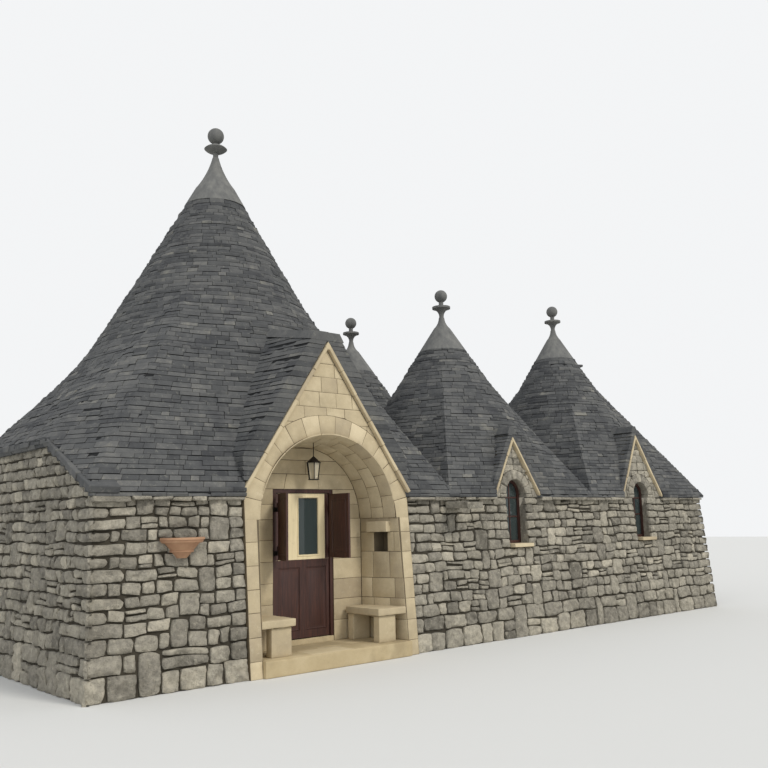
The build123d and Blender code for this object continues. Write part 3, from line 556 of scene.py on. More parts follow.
def wander(s, z):
    """A place on the wall moved as the joints wander."""
    share = loose(s, z) * WANDER
    across = fractal(Vector((s * 1.6, z * 1.6, 3)), 1.0, 2.0, 2)
    up = fractal(Vector((s * 1.3, z * 1.9, 8)), 1.0, 2.0, 3)
    return s + across * share, z + up * share


class WallCourse:
    """One course of the outer walls: its own quoins and jambs, and the places that are already taken."""

    def __init__(self, number, low, high):
        self.low, self.high = low, high
        self.sizes = SIZE_AT_FOOT if number < 2 else SIZE_ABOVE
        inner = STATIONS[INNER_CORNER]
        self.own, self.taken = [], [(inner, inner)]
        before, after = (QUOIN_LONG, QUOIN_SHORT) if number % 2 else (QUOIN_SHORT, QUOIN_LONG)
        for corner in OUTER_CORNERS:
            self.own.append((STATIONS[corner] - before, STATIONS[corner] + after))
        if low > WINDOW_FOOT - 0.01:
            jamb = JAMB_LONG if number % 2 else JAMB_SHORT
            for start, end in WINDOW_HOLES:
                self.taken.append((start, end))
                self.own += [(start - jamb, start), (end, end + jamb)]

    def is_free(self, start, end):
        """Whether a stone there would clear all that has its place."""
        return all(end < a - CLEAR or start > b + CLEAR for a, b in self.own + self.taken)

    def lay(self):
        """Lays the course's stones."""
        for start, end in self.own:
            lay_stone(start, end, self.low, self.high)
        place = 0.0
        for start, end in sorted(self.own + self.taken) + [(WALL_END, WALL_END)]:
            if start > place:
                cuts = lengths(place, start, *self.sizes)
                for a, b in pairwise(cuts):
                    self.lay_between(a, b)
            place = max(place, end)

    def lay_between(self, start, end):
        """Lays one stone, or two thin ones over each other."""
        if end - start > SPLIT_LEAST and rng.random() < THIN_SHARE:
            split = self.low + (self.high - self.low) * rng.uniform(*SPLIT_SHARE)
            lay_stone(start, end, self.low, split)
            lay_stone(start, end, split, self.high)
        else:
            lay_stone(start, end, self.low, self.high)


def lay_walls():
    """Lays all the outer walls, with stones two courses high here and there."""
    courses = [WallCourse(number, low, high) for number, (low, high) in enumerate(pairwise(COURSES))]
    for lower, upper in zip(courses[::2], courses[1::2]):
        start = rng.uniform(0.1, 1.2)
        while start < WALL_END - 0.4:
            end = start + rng.uniform(*TALL_WIDTH)
            if lower.is_free(start, end) and upper.is_free(start, end):
                lay_stone(start, end, lower.low, upper.high)
                lower.taken.append((start, end))
                upper.taken.append((start, end))
            start = end + rng.uniform(*TALL_SPACING)
    for course in courses:
        course.lay()
    for low, high in pairwise(UPPER_COURSES):
        first = KINK_FRONT * (low - EAVE) / (RAISED - EAVE)
        last = DEPTH - (DEPTH - KINK_BACK) * (low - EAVE) / (RAISED - EAVE)
        cuts = lengths(STATIONS[1] + first + 0.03, STATIONS[1] + last - 0.03, *SIZE_ABOVE)
        for start, end in pairwise(cuts):
            lay_stone(start, end, low, high, under_slope)


def under_slope(s, z):
    """A place on the raised left wall, kept under its sloping top."""
    level = max(level for level in UPPER_COURSES if level <= z + 1e-6)
    return s, min(z, max(left_wall_top(s - STATIONS[1]) - JOINT, level + BAND))


def gap_at(place):
    """Half a joint's width, narrow where a stone ends at a window or at the end of the run."""
    edges = [edge for hole in WINDOW_HOLES for edge in hole] + [0.0, WALL_END]
    tight = any(abs(place - edge) < 0.002 for edge in edges)
    return TIGHT_GAP if tight else rng.uniform(*END_GAP)


def lay_stone(start, end, low, high, uv=wander):
    """One rough stone of the outer walls."""
    us = spaced(start + gap_at(start), end - gap_at(end), BAND, STONE_STEP)
    for station in STATIONS[1:-1]:
        if start + 0.03 < station < end - 0.03:
            us = [u for u in us if abs(u - station) > 0.02]
            us = sorted(us + [station - BAND, station, station + BAND])
    foot = low + (0.0 if low == 0 else rng.uniform(*BED_GAP))
    vs = spaced(foot, high - rng.uniform(*BED_GAP), BAND, STONE_STEP)
    piece = wall_pieces[next(i for i, limit in enumerate(WALL_LIMITS) if start < limit)]
    face = rng.uniform(0, 0.006)
    stone_patch(piece, wall_surface, us, vs, face, edge=STONE_EDGE, depth=STONE_DEPTH, rough=STONE_ROUGH,
                flip=False, warp=0.012, tilt=0.006, uv=uv, grain=10.0, soft=0.032,
                rounding=rng.uniform(0.03, 0.13))


FRONT_PLANE = (Vector((0, 0, 0)), Vector((0, -1, FRONT_BATTER)))
LEFT_PLANE = (Vector((LEFT, 0, 0)), Vector((-1, 0, SIDE_BATTER)))
RIGHT_PLANE = (Vector((RIGHT, 0, 0)), Vector((1, 0, SIDE_BATTER)))
BACK_PLANE = (Vector((0, DEPTH, 0)), Vector((0, 1, SIDE_BATTER)))
RIGHT_BACK_PLANE = (Vector((0, RIGHT_DEPTH, 0)), Vector((0, 1, SIDE_BATTER)))
STEP_PLANE = (Vector((STEP_X, 0, 0)), Vector((1, 0, 0)))
STONE_FACE, JOINT_FACE, ROOM_FACE = 0, 1, 2
RECESS = 0.42


def in_window(place):
    """Whether a face's middle lies on the sides of a window, outside its frame."""
    return place.z > WINDOW_FOOT - 0.02 and place.y < RECESS and any(
        abs(place.x - x) < WINDOW_HALF + 0.02 for x in WINDOWS)


def backing(piece, node, planes, inner=ROOM_FACE):
    """The wall behind the stones: the CAD solid with its outer faces set back to the depth of the joints."""
    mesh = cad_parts[node].data
    points = [v.co.copy() for v in mesh.vertices]
    normals = [direction.normalized() for _, direction in planes]
    for (origin, _), normal in zip(planes, normals):
        level = Vector((normal.x, normal.y, 0)).normalized()
        for point in points:
            if abs((point - origin).dot(normal)) < 0.002:
                point -= level * BACKING_SINK
    for polygon in mesh.polygons:
        kind = inner
        if any(polygon.normal.dot(normal) > 0.999 for normal in normals):
            kind = JOINT_FACE
        elif in_window(polygon.center):
            kind = STONE_FACE
        piece.add([points[i] for i in polygon.vertices], [tuple(range(len(polygon.vertices)))], 0.45, kind)


wall_pieces = [Piece() for _ in range(4)]
WALL_LIMITS = (STATIONS[2] - 0.3, STATIONS[4] - 0.3, STATIONS[6] - 0.6, WALL_END + 1)
WALL_LOOKS = (RUBBLE, JOINTS, ROOM)
WALL_NODES = (
    ("rubble_left", {"left_wall": (FRONT_PLANE, LEFT_PLANE, BACK_PLANE), "front_wall_left": (FRONT_PLANE,)}),
    ("rubble_back", {"back_wall_main": (BACK_PLANE,), "back_wall_middle": (BACK_PLANE, STEP_PLANE),
                     "cross_wall_right": (STEP_PLANE,)}),
    ("rubble_right", {"right_wall": (FRONT_PLANE, RIGHT_PLANE, RIGHT_BACK_PLANE),
                      "back_wall_right": (RIGHT_BACK_PLANE,)}),
    ("rubble_front", {"front_wall_center": (FRONT_PLANE,), "window_wall_middle": (FRONT_PLANE,),
                      "window_wall_right": (FRONT_PLANE,)}),
)
lay_walls()
for piece, (name, nodes) in zip(wall_pieces, WALL_NODES):
    for node, planes in nodes.items():
        backing(piece, node, planes)
    piece.build(name, WALL_LOOKS, "limestone_wall", replaces=tuple(nodes), smooth=42)


# Roofs: courses of thin slabs round each cone and its squared skirt

FACE_STEP = 0.022
RAGGED = 0.012
SLAB_HEIGHTS = (0.05, 0.078)
SLAB_LENGTHS = (0.1, 0.36)
SHARP_BEND = 0.1
FAR = 50.0
EDGE_BACK = 0.02
OVERLAP = 0.02
LIP = 0.003
LEFT_TOP = RAISED + 0.05
LEFT_RISE = 0.68
BROW_PITCH = 2.4
SKIRT_BLEND = 18
LEFT_INNER = -2.15
UNDER_EDGE = 0.04
LIFT = 0.004
BROW_DROP, BROW_BACK = 0.016, 0.012


class Roof:
    """A cone over a squared skirt, read level by level as a distance from its axis.

    The planes of its skirt and brows are (x, y, height there, rise along X, rise along Y).
    """

    def __init__(self, axis, tip, slope, planes, limits, brows, cap_drop):
        self.axis, self.tip, self.slope = axis, tip, slope
        self.planes, self.limits, self.brows = planes, limits, brows
        self.top = tip - cap_drop

    def plane_reach(self, planes, directions, z):
        """Distances from the axis to the nearest of some sloping planes, at a height."""
        reach = np.full(len(directions), FAR)
        for x, y, height, rise_x, rise_y in planes:
            at_axis = height + rise_x * (self.axis[0] - x) + rise_y * (self.axis[1] - y)
            fall = -(rise_x * directions[:, 0] + rise_y * directions[:, 1])
            here = np.where(fall > 1e-6, (at_axis - z) / np.maximum(fall, 1e-6), FAR)
            reach = np.minimum(reach, here)
        return reach

    def reach(self, directions, z):
        """Distances from the axis to the roof's outside along unit directions, at a height."""
        cone = np.full(len(directions), (self.tip - z) / self.slope)
        skirt = np.clip(self.plane_reach(self.planes, directions, max(z, EAVE_TOP)), 1e-3, FAR)
        both = (cone ** SKIRT_BLEND + skirt ** SKIRT_BLEND) ** (1 / SKIRT_BLEND)
        sides = []
        for along, centre, low, high in zip(directions.T, self.axis, self.limits[::2], self.limits[1::2]):
            with np.errstate(divide="ignore", invalid="ignore"):
                side = (np.where(along > 0, high, low) - centre) / along
            sides.append(np.where(np.isfinite(side), side, FAR))
        edges = np.minimum(*sides) - (EDGE_BACK if z > EAVE_TOP + 0.01 else 0.0)
        edges = np.minimum(edges, self.plane_reach(self.brows, directions, max(z, EAVE_TOP)))
        return np.minimum(both, edges)

    def inside(self, points, z):
        """How far inside this roof's plan points lie, at a height, in metres."""
        if z > self.tip:
            return np.full(len(points), -FAR)
        away = points - np.array(self.axis)
        distance = np.maximum(np.hypot(away[:, 0], away[:, 1]), 1e-6)
        return self.reach(away / distance[:, None], z) - distance


def eave_planes(left, right, front, back, *pitches):
    """The planes that rise over the four eaves of a skirt, where a pitch is given for one."""
    sides = ((left, 0, 1, 0), (right, 0, -1, 0), (0, front, 0, 1), (0, back, 0, -1))
    return [
        (x, y, EAVE_TOP, across * pitch, along * pitch)
        for (x, y, across, along), pitch in zip(sides, pitches) if pitch
    ]


MAIN = Roof(
    axis=(0.0, 3.27), tip=7.87, slope=1.79, cap_drop=0.85, brows=(),
    limits=(ROOF_LEFT, 4.0, EAVE_FRONT, ROOF_BACK),
    planes=[
        (ROOF_LEFT, 0, LEFT_TOP, 1.05, 0), (ROOF_LEFT, KINK_FRONT, LEFT_TOP, 0.92, LEFT_RISE / KINK_FRONT),
        (ROOF_LEFT, KINK_BACK, LEFT_TOP, 0.92, -LEFT_RISE / (DEPTH - KINK_BACK)),
        *eave_planes(0, 2.25, EAVE_FRONT, ROOF_BACK, 0, 2.2, 1.47, 1.47),
    ],
)
MIDDLE_LIMITS = (2.15, 5.63, EAVE_FRONT, 3.225)
MIDDLE = Roof(
    axis=(3.93, 1.94), tip=5.44, slope=1.54, cap_drop=0.65, limits=MIDDLE_LIMITS,
    planes=eave_planes(*MIDDLE_LIMITS, 1.7, 1.7, 1.6, 1.7),
    brows=eave_planes(*MIDDLE_LIMITS, 0, 0, BROW_PITCH, 0),
)
BACK_LIMITS = (2.15, 5.995, 3.225, ROOF_BACK)
BACK = Roof(
    axis=(3.93, 4.58), tip=5.44, slope=1.46, cap_drop=0.65, limits=BACK_LIMITS,
    planes=eave_planes(*BACK_LIMITS, 1.7, 1.6, 1.7, 1.6),
    brows=eave_planes(*BACK_LIMITS, 0, BROW_PITCH, 0, BROW_PITCH),
)
RIGHT_LIMITS = (5.63, ROOF_RIGHT, EAVE_FRONT, RIGHT_ROOF_BACK)
RIGHT_ROOF = Roof(
    axis=(7.35, 2.07), tip=5.67, slope=1.65, cap_drop=0.65, limits=RIGHT_LIMITS,
    planes=eave_planes(*RIGHT_LIMITS, 1.7, 1.5, 1.6, 1.6),
    brows=eave_planes(*RIGHT_LIMITS, 0, BROW_PITCH, BROW_PITCH, BROW_PITCH),
)


class Gable:
    """A gable's outside, read level by level: its rakes, its crest, its depth and its rise to the back."""

    def __init__(self, centre, half, foot, apex, lean=0.0, thickness=0.0, front=0.0, back=1.0, rise=0.0,
                 crest=None):
        self.centre, self.half, self.rise = centre, half, rise
        self.front, self.back = front, back
        self.foot, self.apex, self.middle = foot, apex, centre + lean
        self.left_slope = (apex - foot) / (half + lean)
        self.right_slope = (apex - foot) / (half - lean)
        self.left_foot = foot + thickness * math.hypot(1, self.left_slope)
        self.right_foot = foot + thickness * math.hypot(1, self.right_slope)
        self.crest = crest or apex + thickness * math.hypot(1, self.left_slope)

    def sides(self, y, z):
        """The two outer edges at a depth and height."""
        level = z - self.rise * (y - self.front)
        left = self.centre - self.half + np.maximum(level - self.left_foot, 0) / self.left_slope
        right = self.centre + self.half - np.maximum(level - self.right_foot, 0) / self.right_slope
        return np.minimum(left, self.middle), np.maximum(right, self.middle)

    def face_edges(self, z):
        """The two edges of its face at a height."""
        left, right = self.sides(np.array([self.front]), z)
        return float(left[0]), float(right[0])

    def crest_at(self, y):
        """The height of its crest at a depth."""
        return self.crest + self.rise * (y - self.front)

    def inside(self, points, z):
        """How far inside the gable's plan points lie, at a height, in metres."""
        left, right = self.sides(points[:, 1], z)
        across = np.minimum(points[:, 0] - left, right - points[:, 0])
        depth = np.minimum(points[:, 1] - self.front, self.back - points[:, 1])
        return np.minimum(np.minimum(across, depth), self.crest_at(points[:, 1]) - z)


PORCH = Gable(0.0, PORCH_HALF, foot=2.17, apex=4.13, lean=0.06, thickness=0.25, front=-0.07, back=1.4,
              rise=0.2, crest=4.29)
WINDOW_GABLES = (
    Gable(WINDOWS[0], 0.55, EAVE, 3.03, thickness=GABLE_ROOF, front=-0.01, back=GABLE_BACKS[0]),
    Gable(WINDOWS[1], 0.65, EAVE, 3.23, thickness=GABLE_ROOF, front=-0.01, back=GABLE_BACKS[1]),
)


class LeftWall:
    """The raised left wall, as something that the roof's courses stop at."""

    def inside(self, points, z):
        tops = np.array([left_wall_top(y) for y in points[:, 1]])
        return np.minimum(LEFT_INNER - points[:, 0], tops - z - UNDER_EDGE)


def slab(piece, low_line, high_line, inward, z, height, depth, step, ragged):
    """One roof slab along a stretch of a course: a rough outer face that leans out, and a flat bed."""
    lift = rng.uniform(-LIFT, LIFT)
    foot = 0.003 + rng.uniform(0, 0.006)
    brow = foot + step + rng.uniform(-ragged, ragged)
    points = []
    for low, high, into in zip(low_line, high_line, inward):
        wobble = rng.uniform(-0.005, 0.005)
        points += [
            (*(low + into * depth), z + lift), (*(low - into * foot), z + 0.004 + lift),
            (*(high - into * (brow + wobble)), z + height - BROW_DROP + lift),
            (*(high - into * (brow + wobble - BROW_BACK)), z + height - LIP + lift),
            (*(high + into * depth), z + height - LIP + lift),
        ]
    faces = []
    for i in range(len(low_line) - 1):
        a, b = i * 5, i * 5 + 5
        for k in range(4):
            faces.append((a + k, b + k, b + k + 1, a + k + 1))
    faces.append((0, 1, 2, 3, 4))
    end = (len(low_line) - 1) * 5
    faces.append((end + 4, end + 3, end + 2, end + 1, end))
    piece.add(points, faces)


def lay_course(piece, low_line, high_line, inward, allowed, z, height, depth=0.17, step=FACE_STEP,
               ragged=RAGGED):
    """Lays slabs along the allowed stretches of one course, and turns them with its sharp bends."""
    strides = np.diff(low_line, axis=0)
    steps = np.maximum(np.hypot(*strides.T), 1e-9)
    run = np.concatenate([[0], np.cumsum(steps)])
    headings = strides / steps[:, None]
    bends = run[1:-1][np.sum(headings[1:] * headings[:-1], axis=1) < math.cos(SHARP_BEND)]
    starts = np.flatnonzero(allowed & ~np.concatenate([[False], allowed[:-1]]))
    ends = np.flatnonzero(allowed & ~np.concatenate([allowed[1:], [False]]))
    for first, last in zip(starts, ends):
        if run[last] - run[first] < 0.04:
            continue
        cuts = lengths(run[first], run[last], *SLAB_LENGTHS)
        for a, b in pairwise(cuts):
            places = np.linspace(a + 0.003, b - 0.003, 3 + int((b - a) > 0.24))
            corners = bends[(bends > a + 0.008) & (bends < b - 0.008)]
            places = np.unique(np.concatenate([places, corners]))
            low, high, into = [
                np.stack([np.interp(places, run, line[:, k]) for k in (0, 1)], 1)
                for line in (low_line, high_line, inward)
            ]
            slab(piece, low, high, into, z, height, depth, step, ragged)


def lay_roof(name, roof, neighbours, start_turn):
    """All the courses of one cone and its skirt, from its eave up to its cap."""
    piece = Piece()
    turns = np.linspace(0, 2 * math.pi, 1441) + start_turn
    directions = np.stack([np.cos(turns), np.sin(turns)], 1)
    axis = np.array(roof.axis)
    z, height, step = EAVE, EAVE_TOP - EAVE, 0.004
    while z < roof.top - 0.02:
        low = axis + directions * roof.reach(directions, z + 0.001)[:, None]
        high = axis + directions * roof.reach(directions, z + height)[:, None]
        allowed = np.ones(len(turns), bool)
        for other in neighbours:
            allowed &= other.inside(low, z + height / 2) < OVERLAP
        lay_course(piece, low, high, -directions, allowed, z, height, step=step)
        z += height
        height, step = rng.uniform(*SLAB_HEIGHTS), FACE_STEP
        if z + height > roof.top - 0.03:
            height = roof.top - z + 0.01
    piece.build(name, (SLABS,), "roof_slabs", smooth=15)


lay_roof("main_roof_slabs", MAIN, (PORCH, LeftWall(), MIDDLE, BACK), 0.3)
lay_roof("middle_roof_slabs", MIDDLE, (PORCH, MAIN, WINDOW_GABLES[0]), 0.9)
lay_roof("back_roof_slabs", BACK, (MAIN,), 1.7)
lay_roof("right_roof_slabs", RIGHT_ROOF, (WINDOW_GABLES[1], MIDDLE, BACK), 2.6)


# Slabs along an edge, and the roofs of the gables


def slab_strip(piece, start, end, outward, reach, thickness, sizes, bevel, jitter, gap=0.004):
    """A row of slabs between two points: each reaches from behind the line to in front of it."""
    start, end = Vector(start), Vector(end)
    along = (end - start).normalized()
    outward = Vector(outward)
    outward = (outward - along * outward.dot(along)).normalized()
    upward = along.cross(outward)
    if upward.z < 0:
        upward = -upward
    turn = Matrix((along, outward, upward)).transposed()
    cuts = lengths(0, (end - start).length, *sizes)
    for a, b in pairwise(cuts):
        nose = reach[1] + rng.uniform(-1, 1) * jitter * 2
        lift = rng.uniform(-1, 1) * jitter
        low = Vector((a + gap / 2, reach[0], thickness[0] - lift))
        high = Vector((b - gap / 2, nose, thickness[1] + lift * 0.4))
        block(piece, start, turn, low, high, bevel, jitter * 0.7)


def front_point(x, z, out=0.0):
    """A point of the facade plane, moved out of it."""
    normal = Vector((0, -1, FRONT_BATTER)).normalized()
    return Vector((x, FRONT_BATTER * z, z)) + normal * out


def facade_surface(u, v, sink):
    """The facade as a surface for stones."""
    return front_point(u, v, -sink)


PRISM = [(0, 1, 2, 3), (7, 6, 5, 4)] + [(i, i + 4, (i + 1) % 4 + 4, (i + 1) % 4) for i in range(4)]
SIDE_SHIFT = 0.003


def ridge_stones(piece, gable, near, depth):
    """Stones along a gable's crest, with sides that follow its slopes."""
    left, right = gable.sides(np.array([gable.front]), gable.crest)
    middle, half = (left[0] + right[0]) / 2, max((right[0] - left[0]) / 2, 0.02) + 0.02
    shape = ((-half - depth / gable.left_slope, -depth), (half + depth / gable.right_slope, -depth),
             (half, 0.008), (-half, 0.008))
    for a, b in pairwise(lengths(near, gable.back, 0.22, 0.42)):
        lift = rng.uniform(-LIFT, LIFT)
        ends = (a + 0.002, b - 0.002)
        points = [Vector((middle + x, y, gable.crest_at(y) + z + lift)) for y in ends for x, z in shape]
        piece.add(points, PRISM)


def lay_gable_roof(piece, gable, foot, overlap, most_depth, cap_depth, neighbours=()):
    """Courses along both slopes of a gable's roof and cap slabs along its crest."""
    z = foot
    while z < gable.crest_at(gable.back):
        height = rng.uniform(*SLAB_HEIGHTS)
        depth = min(most_depth, (z - gable.foot) / max(gable.left_slope, gable.right_slope) - 0.012)
        ys = np.arange(FRONT_BATTER * z - overlap, gable.back, 0.02)
        low_left, low_right = gable.sides(ys, z)
        high_left, high_right = gable.sides(ys, z + height)
        free = (z + height < gable.crest_at(ys) + 0.02) & (low_right - low_left > 0.03) & (depth > 0.03)
        share = np.clip((low_right - low_left) / 2 / max(depth, 0.01), 0.05, 1.0)
        sides = ((low_left, high_left, share, ys), (low_right, high_right, -share, ys + SIDE_SHIFT))
        for low_x, high_x, into, near in sides:
            low, high = np.stack([low_x, near], 1), np.stack([high_x, near], 1)
            allowed = free.copy()
            for other in neighbours:
                allowed &= other.inside(low, z + height / 2) < OVERLAP
            inward = np.stack([into, np.zeros(len(ys))], 1)
            lay_course(piece, low, high, inward, allowed, z, height, depth, 0.01, 0.005)
        z += height
    ridge_stones(piece, gable, FRONT_BATTER * gable.crest - overlap - 0.01, cap_depth)


porch_slabs = Piece()
lay_gable_roof(porch_slabs, PORCH, foot=2.2, overlap=0.035, most_depth=0.27, cap_depth=0.11,
               neighbours=(MAIN, MIDDLE))
porch_slabs.build("porch_roof_slabs", (SLABS,), "roof_slabs", smooth=15)

STEP_STONE_ANGLE = math.radians(-23)
STEP_STONE_Z = 4.9
step_stone = Piece()
out = Vector((math.cos(STEP_STONE_ANGLE), math.sin(STEP_STONE_ANGLE), 0))
radius = (RIGHT_ROOF.tip - STEP_STONE_Z) / RIGHT_ROOF.slope
turn = Matrix((out, Vector((0, 0, 1)).cross(out), Vector((0, 0, 1)))).transposed()
place = Vector((*RIGHT_ROOF.axis, STEP_STONE_Z))
STEP_STONES = (
    ((-0.12, -0.12, 0.0), (0.13, 0.12, 0.045), 0.008, 0.6),
    ((-0.12, -0.1, -0.12), (0.075, 0.09, -0.004), 0.012, 0.45),
)
for (near, *low), (far, *high), bevel, tone in STEP_STONES:
    block(step_stone, place, turn, (radius + near, *low), (radius + far, *high), bevel, 0.008, tone)
step_stone.build("step_stone", (SLABS,), "roof_slabs")

eaves = Piece()
EAVE_RUNS = ((LEFT + SIDE_BATTER * EAVE, -PORCH_HALF), (PORCH_HALF, 3.18), (4.28, 6.63),
             (7.93, RIGHT - SIDE_BATTER * EAVE))
for start, end in EAVE_RUNS:
    line = front_point(start, EAVE), front_point(end, EAVE)
    slab_strip(eaves, *line, (0, -1, 0), reach=(-0.12, 0.058), thickness=(-0.046, 0.0), sizes=(0.18, 0.55),
               bevel=0.01, jitter=0.012, gap=0.012)
eaves.build("eave_stones", (RUBBLE,), "ashlar", replaces=("eave_slabs",))

left_edge = Piece()
EDGE_DEPTHS = (0.1, KINK_FRONT, KINK_BACK, 6.44)
EDGE_LINE = [(LEFT + SIDE_BATTER * left_wall_top(y), y, left_wall_top(y)) for y in EDGE_DEPTHS]
for line in pairwise(EDGE_LINE):
    slab_strip(left_edge, *line, (-1, 0, 0), reach=(-0.3, 0.058), thickness=(-0.008, 0.062),
               sizes=(0.16, 0.42), bevel=0.008, jitter=0.008, gap=0.006)
left_edge.build("left_edge_slabs", (SLABS,), "roof_slabs")


# Porch: dressed blocks on the piers, the gable, the vault and the door wall

ARCH_Z = 1.845
ARCH_RADIUS = 1.155
JAMB_FRONT, JAMB_BACK = 1.17, 1.0
ALCOVE = 0.8
VAULT_RUN_OUT = 0.1
IMPOST = 1.85
DOORWAY_HALF, DOORWAY_TOP = 0.5, 2.255
PORCH_FLOOR = 0.2
STEP_NOSE = 0.06
VAULT_TAPER = (JAMB_FRONT - JAMB_BACK) / (ALCOVE + VAULT_RUN_OUT)
SPLAY = (JAMB_FRONT - JAMB_BACK) / ALCOVE
NICHE_Y, NICHE_Z = (0.33, 0.56), (1.38, 1.65)
LEFT_JAMB_COURSES = (0.2, 0.47, 0.75, 1.02, 1.3, 1.58, IMPOST)
RIGHT_JAMB_COURSES = (0.2, 0.47, 0.75, 1.02, NICHE_Z[0], NICHE_Z[1], IMPOST)
FINE = 0.003
CUT = 0.006
RING = 0.26
RING_STONES = 15
RING_MOUTH = ARCH_RADIUS - VAULT_TAPER * (VAULT_RUN_OUT + 0.15)
VAULT_ROWS = (0.16, 0.37, 0.58, ALCOVE - 0.003)
VAULT_TURNS = 11
GABLE_FACE = Gable(0.0, PORCH_HALF, foot=2.17, apex=4.13, lean=0.06)

porch = Piece()


def dressed(surface, us, vs, flip=False, uv=None):
    """A dressed block: a flat face a few millimetres proud, with narrow cut edges."""
    stone_patch(porch, surface, us, vs, face=-0.006, edge=0.0035, depth=0.012, rough=0.0012, flip=flip,
                warp=0.002, tilt=0.0015, uv=uv)


def inset(start, end, step, edge=CUT):
    """Places along a block from joint to joint."""
    return spaced(start + FINE, end - FINE, edge, step)


def jamb_surface(side):
    """The splayed inner face of a pier, from the facade to the door wall."""
    normal = Vector((-side, -SPLAY, 0)).normalized()

    def surface(u, v, sink):
        return Vector((side * (JAMB_FRONT - SPLAY * u), u, v)) - normal * sink

    return surface


def from_facade(first):
    """Stretches a block between the leaning facade and a depth."""
    def uv(share, v):
        edge = FRONT_BATTER * v + FINE
        return edge + (first - FINE - edge) * share, v

    return uv


def lay_jamb(side):
    """Courses of dressed blocks on one pier, with a gap for the niche on the right."""
    courses = RIGHT_JAMB_COURSES if side > 0 else LEFT_JAMB_COURSES
    surface = jamb_surface(side)
    facing = spaced(*sorted((side * (JAMB_FRONT + 0.001), side * (PORCH_HALF - 0.003))), CUT, 0.1)
    for number, (low, high) in enumerate(pairwise(courses)):
        rows = inset(low, high, 0.25)
        first = 0.3 if number % 2 else 0.22
        dressed(surface, spaced(0, 1, 0.03, 0.5), rows, side > 0, from_facade(first))
        runs = [(first, ALCOVE - FINE)]
        if side > 0 and high > NICHE_Z[0] + 0.01 and low < NICHE_Z[1] - 0.01:
            runs = [(first, NICHE_Y[0]), (NICHE_Y[1], ALCOVE - FINE)]
        for run in runs:
            for a, b in pairwise(lengths(*run, 0.24, 0.42)):
                dressed(surface, inset(a, b, 0.25), rows, side > 0)
        dressed(facade_surface, facing, rows)
    dressed(facade_surface, facing, inset(0, PORCH_FLOOR, 0.25))


def door_wall_surface(u, v, sink):
    """The wall beside and over the door."""
    return Vector((u, ALCOVE + sink, v))


def door_wall_reach(v):
    """Half the width of the door wall at a height: straight sides, then the back of the vault."""
    if v <= ARCH_Z:
        return JAMB_BACK - 0.004
    crown = ARCH_RADIUS - VAULT_TAPER * (VAULT_RUN_OUT + ALCOVE) - 0.004
    return math.sqrt(max(crown ** 2 - (v - ARCH_Z) ** 2, 0.0001))


def beside_door(side):
    """Stretches a block between the doorway and the pier or vault."""
    def uv(share, v):
        return side * (DOORWAY_HALF + FINE + (door_wall_reach(v) - DOORWAY_HALF - 2 * FINE) * share), v

    return uv


def over_door(share, v):
    """Stretches a block across the back of the vault."""
    return share * door_wall_reach(v), v


def vault_surface(turn, depth, sink):
    """The tapered vault over the porch: an angle from its right springing and a depth into the porch."""
    radius = ARCH_RADIUS - VAULT_TAPER * (VAULT_RUN_OUT + depth) + sink
    return Vector((math.cos(turn) * radius, depth, ARCH_Z + math.sin(turn) * radius))


def ring_surface(turn, radius, sink):
    """The face of the arch, by an angle and a distance from its centre."""
    return front_point(math.cos(turn) * radius, ARCH_Z + math.sin(turn) * radius, -sink)


def ring_outer(turn):
    """The outer edge of the arch stones at an angle: a ring, cut by the rakes and the sides of the porch."""
    across, rise = abs(math.cos(turn)), math.sin(turn)
    slope = GABLE_FACE.right_slope if math.cos(turn) > 0 else GABLE_FACE.left_slope
    side_room = (PORCH_HALF - 0.004) / max(across, 0.01)
    rake_room = (PORCH_HALF - 0.008 + (GABLE_FACE.foot - ARCH_Z) / slope) / (across + rise / slope)
    return min(RING_MOUTH + RING, side_room, rake_room)


def ring_face(turn, share):
    """Stretches an arch stone between the mouth and its outer edge."""
    return turn, RING_MOUTH + 0.004 + (ring_outer(turn) - RING_MOUTH - 0.004) * share


def ring_soffit(turn, share):
    """Stretches an arch stone's underside between the facade and the first row of the vault."""
    edge = FRONT_BATTER * (ARCH_Z + ARCH_RADIUS * math.sin(turn)) + 0.004
    return turn, edge + (VAULT_ROWS[0] - FINE - edge) * share


def gable_block(gable, a, b, v, ring_centre, ring_radius):
    """The ends of a block of a gable's face at a height, cut to its rakes and round its arch."""
    left, right = gable.face_edges(v)
    start, end = max(a, left + 0.004), min(b, right - 0.004)
    rise = max(v - ring_centre[1], 0)
    if rise < ring_radius:
        half = math.sqrt(ring_radius ** 2 - rise ** 2)
        if (a + b) / 2 > ring_centre[0]:
            start = max(start, ring_centre[0] + half)
        else:
            end = min(end, ring_centre[0] - half)
    return start + FINE, max(end - FINE, start + FINE + 0.0001)


def across_gable(gable, a, b, ring_centre, ring_radius):
    """Stretches a block across its part of a gable's face."""
    def uv(share, v):
        start, end = gable_block(gable, a, b, v, ring_centre, ring_radius)
        return start + (end - start) * share, v

    return uv


def lay_gable_course(lay, gable, low, high, cuts, ring_centre, ring_radius, least=0.01):
    """Blocks of one course of a gable's face."""
    for a, b in pairwise(cuts):
        uv = across_gable(gable, a, b, ring_centre, ring_radius)
        rows = inset(low, high, 0.022)
        crown = [ring_centre[1] + ring_radius * math.sin(math.pi * i / 36) for i in range(1, 19)]
        rows = sorted(rows + [v for v in crown if low + 0.012 < v < high - 0.012])
        rows = [v for v in rows if uv(1, v)[0] - uv(0, v)[0] > least]
        if len(rows) > 2:
            lay(rows, uv)


